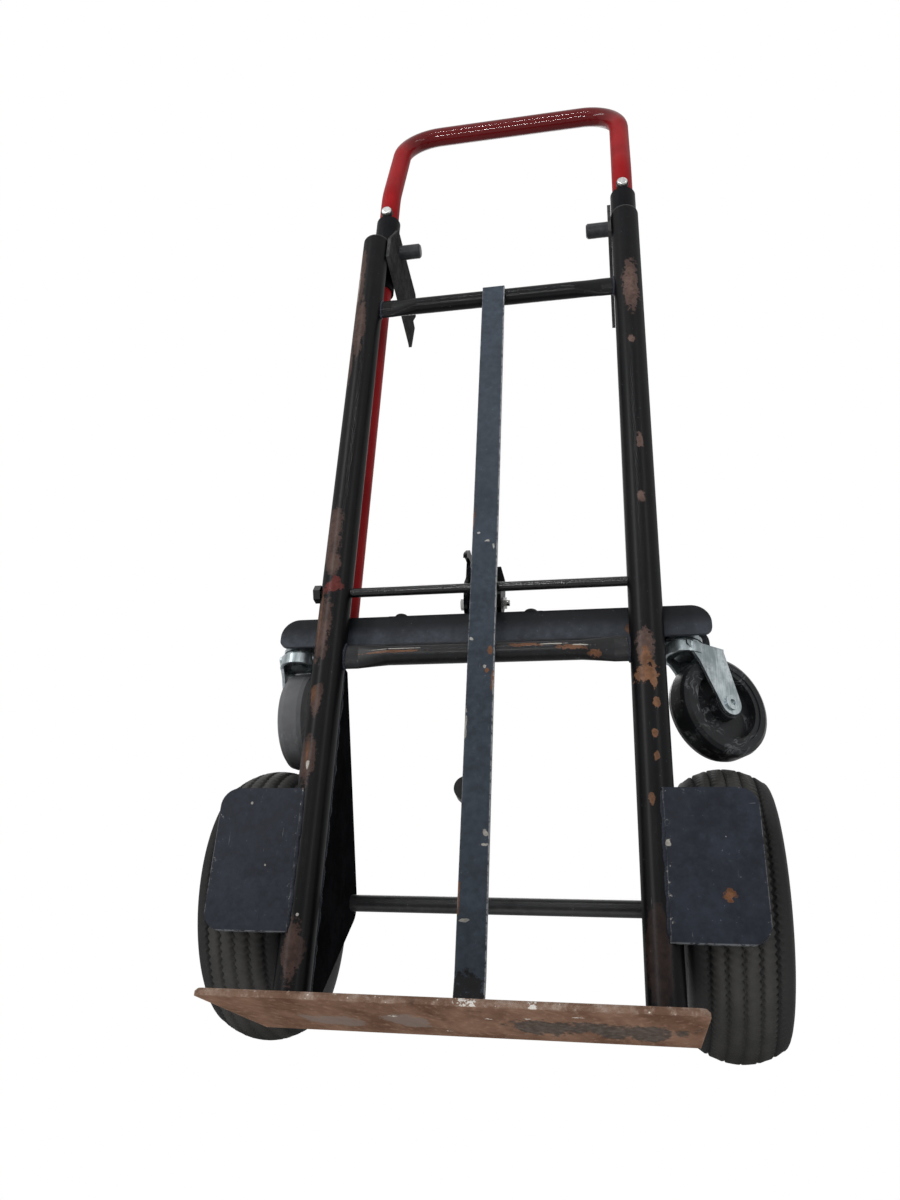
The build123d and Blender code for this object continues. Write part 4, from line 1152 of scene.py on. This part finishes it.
@dataclass
class DriveWheel(Part):
    """One pneumatic wheel: a tyre with zig-zag ribs on a painted rim."""

    side: Side
    centre: Vector = (0.214, 0.118, 0.127)
    radius: float = 0.1269
    half: float = 0.042
    bead: float = 0.0261
    seat: float = 0.0511
    drop: float = 0.012
    # The tread's end as a share of the half width, and the wall's widest and lowest turns of its height
    shoulder_share: float = 0.84
    waist_share: float = 0.56
    low_share: float = 0.14
    wall_points: int = 9
    # The wall's raised ring: its height, radius and width
    wall_ring: Vector = (0.0007, 0.083, 0.002)
    groove_half: float = 0.0019
    groove_floor: float = 0.62
    groove_depth: float = 0.0042
    groove_places: tuple[float, ...] = (-0.0262, -0.0131, 0.0, 0.0131, 0.0262)
    zig: float = 0.0010
    teeth: int = 112
    tooth_points: int = 4

    def outline(self) -> tuple[np.ndarray, np.ndarray, np.ndarray]:
        """The tyre's section from bead to bead, as columns of the grid.

        The wall bulges on two quarter ellipses and has a raised ring, a bell curve of the radius. The tread
        is a parabola of the given drop, and each groove has four columns: its lips and its floor's edges.

        Returns:
            Each column's place along the axle, its radius, and how far it follows the zig-zag.
        """
        shoulder = self.half * self.shoulder_share
        waist = self.seat + (self.radius - self.seat) * self.waist_share
        low = self.seat + (self.radius - self.seat) * self.low_share
        quarter = np.linspace(0, np.pi / 2, self.wall_points)
        wall_x = np.concatenate([[self.bead], self.bead + (self.half - self.bead) * np.sin(quarter)])
        wall_r = np.concatenate([[self.seat], low + (waist - low) * (1 - np.cos(quarter))])
        drop_r = self.radius - self.drop
        edge_x = shoulder + (self.half - shoulder) * np.cos(quarter[1:])
        edge_r = waist + (drop_r - waist) * np.sin(quarter[1:])
        side_x, side_r = np.concatenate([wall_x, edge_x]), np.concatenate([wall_r, edge_r])
        high, ring, width = self.wall_ring
        side_r = side_r + high * np.exp(-(((side_r - ring) / width) ** 2))
        lip, floor = self.groove_half, self.groove_half * self.groove_floor
        places = np.array(self.groove_places)
        offsets = np.array([-lip, -floor, floor, lip])
        deep = np.array([0.0, 1.0, 1.0, 0.0])
        groove_x = (places[:, None] + offsets).ravel()
        groove_d = np.tile(deep, len(places))
        middle = (places[1:] + places[:-1]) / 2
        tread_x = np.concatenate([groove_x, middle])
        tread_d = np.concatenate([groove_d, np.zeros(len(middle))])
        follow = np.concatenate([np.ones(len(groove_x)), np.zeros(len(middle))])
        order = np.argsort(tread_x)
        tread_x, tread_d, follow = tread_x[order], tread_d[order], follow[order]
        tread_r = self.radius - self.drop * (tread_x / shoulder) ** 2 - self.groove_depth * tread_d
        x = np.concatenate([-side_x, tread_x, side_x[::-1]])
        r = np.concatenate([side_r, tread_r, side_r[::-1]])
        zig = np.concatenate([np.zeros(len(side_x)), follow, np.zeros(len(side_x))])
        return x, r, zig

    def build(self) -> bpy.types.Object:
        """Makes the tyre: its section turned about the axle.

        Its groove columns move sideways by a triangle wave of the angle: 2 / pi times the arc sine of a sine.

        Returns:
            The new tyre, which stands for the plain one.
        """
        x, r, zig = self.outline()
        turn = np.linspace(0, 2 * np.pi, self.teeth * self.tooth_points, endpoint=False)
        wave = 2 / np.pi * np.arcsin(np.sin(turn * self.teeth))
        along = x[None, :] + self.zig * wave[:, None] * zig[None, :]
        cx, cy, cz = self.centre
        back, up = r * np.cos(turn)[:, None], r * np.sin(turn)[:, None]
        points = np.stack([self.side.value * cx + along, cy + back, cz + up], axis=-1)
        piece = skin(f"ribbed_tyre_{self.side.tail}", points, (True, True))
        piece.data.materials.append(self.finishes.get(TreadRubber("tyre_rubber", (cy, cz), self.radius)))
        body = f"wheel_{self.side.tail}"
        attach(piece, body)
        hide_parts(f"tyre_{self.side.tail}")
        return piece

    def dress(self) -> None:
        """Paints the rim and plates its hardware."""
        tail = self.side.tail
        rim = WornPaint("rim_paint", RIM_GREY, gloss=0.42, chips=-0.04, scratches=0.3)
        hub = PlatedSteel("hub_steel", pale=(0.40, 0.40, 0.39), gloss=0.36)
        bolts = PlatedSteel("rim_bolt_plating", gloss=0.32)
        valve = PlatedSteel("valve_brass", pale=(0.55, 0.42, 0.20), dull=(0.25, 0.18, 0.09), gloss=0.32)
        tube = ScuffedPlastic("inner_tube_rubber", (0.02, 0.02, 0.02), SCUFF_GREY, gloss=0.6, amount=0.3)
        self.coat(rim, f"rim_outer_{tail}", f"rim_inner_{tail}")
        self.coat(hub, f"hub_{tail}", f"wheel_bearings_{tail}")
        self.coat(bolts, f"rim_bolts_{tail}")
        self.coat(valve, f"valve_{tail}")
        self.coat(tube, f"inner_tube_{tail}")


@dataclass
class HandleFrame(Part):
    """The red loop, its sleeves and stops, the caster beam and the latch."""

    leg_x: float = 0.1524
    leg_y: float = 0.042
    leg_r: float = 0.0127
    beam_top: float = 0.390
    # How far down from the beam's top the band of painted shade reaches
    dark_band: float = 0.026

    def dress(self) -> None:
        """Paints the loop, beam, sleeves and latch, with painted shade as a dark band along the top of the
        beam.
        """
        # Painted shade: a dark, nearly whole band along the top of the beam's front
        band = EdgeRub(Axis.Z, self.beam_top, self.dark_band, strength=0.92, colour=BEAM_TOP_SHADE, sparse=0.2)
        beam = WornPaint(
            "beam_paint", BEAM_BLUE, gloss=0.40, chips=-0.05, scratches=0.3, wear=BEAM_WEAR, front=0.06,
            rims=(band,),
        )
        sleeve = WornPaint(
            "sleeve_paint", SLEEVE_BLACK, gloss=0.40, chips=-0.07, scratches=0.15, specks=0.1, shine=0.03,
        )
        pin = WornPaint("pivot_pin_paint", PIN_GREY, gloss=0.40, chips=-0.07, scratches=0.2, shine=0.14)
        latch = WornPaint("latch_paint", BLACK, gloss=0.42, chips=-0.03, scratches=0.3, shine=0.06)
        bolt = WornPaint("beam_bolt_paint", BOLT_BLACK, gloss=0.40, chips=-0.02)
        screw = PlatedSteel(
            "screw_plating", pale=(0.72, 0.72, 0.71), dull=(0.42, 0.42, 0.41), gloss=0.22, stain=0.15,
        )
        pad = ScuffedPlastic(
            "stop_pad_rubber", (0.013, 0.012, 0.012), (0.05, 0.05, 0.05), gloss=0.5, amount=0.3,
        )
        self.coat(RedEnamel(), "handle_loop")
        self.coat(beam, "caster_beam")
        self.coat(sleeve, "sleeve_left", "sleeve_right")
        self.coat(pin, "pivot_pin_left", "pivot_pin_right")
        self.coat(latch, "latch_hook", "latch_lugs")
        self.coat(screw, "stop_screws", "latch_pivot_bolt", "latch_pivot_nut")
        self.coat(bolt, "beam_bolts")
        self.coat(pad, "stop_spacers")

    def weld(self, welds: WeldRuns) -> None:
        """Adds the runs round the legs' feet."""
        for side in Side:
            welds.ring("handle", (side.value * self.leg_x, self.leg_y, self.beam_top), self.leg_r)


@dataclass
class CasterPair(Part):
    """The two swivel casters under the beam; the right one's wheel has its own middle and axle line."""

    right_centre: Vector = (0.2153, 0.0626, 0.301)
    right_axis: Vector = (0.588, -0.809, 0.0)

    def dress(self) -> None:
        """Plates the forks and races and finishes each wheel as it has worn."""
        fork = PlatedSteel("fork_zinc", pale=(0.50, 0.555, 0.575), dull=(0.19, 0.222, 0.234))
        for side in Side:
            self.coat(fork, f"fork_{side.tail}", f"lower_race_{side.tail}", f"caster_axle_{side.tail}")
        self.coat(fork, "upper_races", "kingpins")
        dusty = ScuffedPlastic(
            "caster_dusty_rubber", (0.115, 0.117, 0.121), (0.25, 0.255, 0.26), gloss=0.7, amount=0.6,
        )
        black = ScuffedPlastic(
            "caster_black_plastic", (0.0095, 0.0095, 0.010), (0.12, 0.12, 0.12), gloss=0.40, amount=0.55,
        )
        rubbed = ScuffedWheel("caster_rubbed_plastic", self.right_centre, self.right_axis)
        self.coat(dusty, "caster_tread_left")
        self.coat(black, "caster_core_left")
        self.coat(rubbed, "caster_tread_right", "caster_core_right")


@dataclass(frozen=True)
class Lamp:
    """A soft rectangular lamp that points at a spot, with its light held to an angle in degrees."""

    name: str
    place: Vector
    aim: Vector
    size: tuple[float, float]
    power: float
    spread: float = 180.0

    def build(self) -> None:
        """Makes the lamp and turns it to its spot."""
        data = bpy.data.lights.new(self.name, "AREA")
        data.shape = "RECTANGLE"
        data.size, data.size_y = self.size
        data.energy = self.power
        data.spread = np.radians(self.spread)
        lamp = bpy.data.objects.new(self.name, data)
        bpy.context.scene.collection.objects.link(lamp)
        back = np.subtract(self.place, self.aim).astype(float)
        back /= np.linalg.norm(back)
        side = np.cross((0.0, 0.0, 1.0), back)
        side /= np.linalg.norm(side)
        turn = np.column_stack([side, np.cross(back, side), back])
        lamp.matrix_world = Matrix.Translation(self.place) @ Matrix(turn.tolist()).to_4x4()


@dataclass
class Studio:
    """A pale floor that is clear from below, a white surround and soft lamps."""

    reach: float = 6.0
    floor_z: float = -0.0006
    floor_colour: RGB = (0.80, 0.80, 0.80)
    floor_rough: float = 0.7
    floor_lines: int = 3
    surround: float = 0.42
    lamps: tuple[Lamp, ...] = (
        Lamp("left_strip", (-1.75, -1.8, 1.5), (0.0, 0.0, 0.6), (0.20, 2.4), 29.0),
        Lamp("right_strip", (1.9, -2.1, 1.5), (0.0, 0.0, 0.6), (0.12, 2.2), 12.5),
        Lamp("bar_strip_high", (-0.13, -1.37, 1.585), (0.0, 0.085, 1.222), (0.40, 0.014), 1.45, 100.0),
        Lamp("bar_strip_low", (-0.13, -1.135, 0.35), (0.0, 0.085, 1.222), (0.40, 0.018), 1.8, 100.0),
        Lamp("low_lamp", (0.1, -0.45, -1.25), (0.0, -0.08, 0.0), (1.2, 0.8), 13.0),
        Lamp("back_lamp", (-0.6, 2.2, 2.0), (0.0, 0.0, 0.6), (1.4, 1.0), 12.0),
    )

    def floor(self) -> None:
        """A flat square grid, pale from above and clear from below and to shadow rays."""
        line = np.linspace(-self.reach, self.reach, self.floor_lines)
        x, y = np.meshgrid(line, line, indexing="ij")
        points = np.stack([x, y, np.full_like(x, self.floor_z)], axis=-1)
        piece = skin("studio_floor", points, (False, False))
        if piece.data.polygons[0].normal.z < 0:
            piece.data.flip_normals()
        graph = Graph("studio_floor_pale")
        clear = graph.node("ShaderNodeBsdfTransparent", {}, {})
        below = graph.node("ShaderNodeNewGeometry", {}, {}, "Backfacing")
        shadow = graph.node("ShaderNodeLightPath", {}, {}, "Is Shadow Ray")
        graph.finish(Base_Color=self.floor_colour, Roughness=self.floor_rough)
        inputs = {0: below.atleast(shadow), 1: graph.shader.outputs[0], 2: clear}
        graph.feed(graph.output.inputs[0], graph.node("ShaderNodeMixShader", {}, inputs))
        piece.data.materials.append(graph.material)

    def sky(self) -> None:
        """White where it is seen or mirrored, and a plain level of light elsewhere."""
        world = bpy.data.worlds.new("studio_white")
        world.use_nodes = True
        nodes = Nodes(world.node_tree)
        kinds = ("Is Glossy Ray", "Is Camera Ray", "Is Transmission Ray")
        mirrored, seen, through = (nodes.node("ShaderNodeLightPath", {}, {}, kind) for kind in kinds)
        white = mirrored.atleast(seen.atleast(through))
        inputs = {"Value": white, "To Min": self.surround, "To Max": 1.0}
        level = nodes.node("ShaderNodeMapRange", {}, inputs, "Result")
        light = nodes.node("ShaderNodeBackground", {}, {"Color": (1.0, 1.0, 1.0), "Strength": level})
        output = nodes.tree.nodes.new("ShaderNodeOutputWorld")
        nodes.feed(output.inputs[0], light)
        bpy.context.scene.world = world

    def build(self) -> None:
        """Floor, surround and lamps, with colours shown as they are."""
        self.floor()
        self.sky()
        for lamp in self.lamps:
            lamp.build()
        bpy.context.scene.view_settings.view_transform = "Standard"


@dataclass(frozen=True)
class PhotoCamera:
    """The camera that the photograph was taken with, fitted to the truck's own frame."""

    place: Vector = (0.13501, -0.87588, -0.09936)
    right: Vector = (0.97633, 0.20521, 0.06838)
    down: Vector = (-0.04236, 0.49140, -0.86991)
    ahead: Vector = (-0.21211, 0.84642, 0.48846)
    focal: float = 1031.41
    middle: tuple[float, float] = (401.76, 593.46)
    image: tuple[int, int] = (900, 1200)
    sensor: float = 36.0
    nearest: float = 0.01

    def build(self) -> None:
        """Makes the camera and puts it in the scene."""
        data = bpy.data.cameras.new("photo_camera")
        long = max(self.image)
        data.sensor_width = self.sensor
        data.lens = self.focal / long * self.sensor
        data.shift_x = (self.image[0] / 2 - self.middle[0]) / long
        data.shift_y = (self.middle[1] - self.image[1] / 2) / long
        data.clip_start = self.nearest
        camera = bpy.data.objects.new("photo_camera", data)
        bpy.context.scene.collection.objects.link(camera)
        turn = np.column_stack([self.right, np.negative(self.down), np.negative(self.ahead)])
        camera.matrix_world = Matrix.Translation(self.place) @ Matrix(turn.tolist()).to_4x4()
        bpy.context.scene.camera = camera


def main() -> None:
    """Loads the model, builds the new pieces, dresses everything and sets the stage."""
    logging.basicConfig(level=logging.INFO, format="%(message)s")
    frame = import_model()
    finishes = Finishes()
    nodes = frame["nodes"]
    PhotoCamera().build()
    Studio().build()
    truck = MainFrame(nodes, finishes)
    handle = HandleFrame(nodes, finishes)
    for part in (truck, handle, CasterPair(nodes, finishes)):
        part.dress()
    for side in Side:
        wheel = DriveWheel(nodes, finishes, side)
        wheel.dress()
        LOG.info("%s made", wheel.build().name)
    welds = WeldRuns()
    truck.weld(welds)
    handle.weld(welds)
    coating = WornPaint("weld_paint", GUARD_BLACK, gloss=0.46, chips=-0.04, scratches=0.2)
    for run in welds.build(finishes.get(coating)):
        LOG.info("%s made", run.name)


if __name__ == "__main__":
    main()
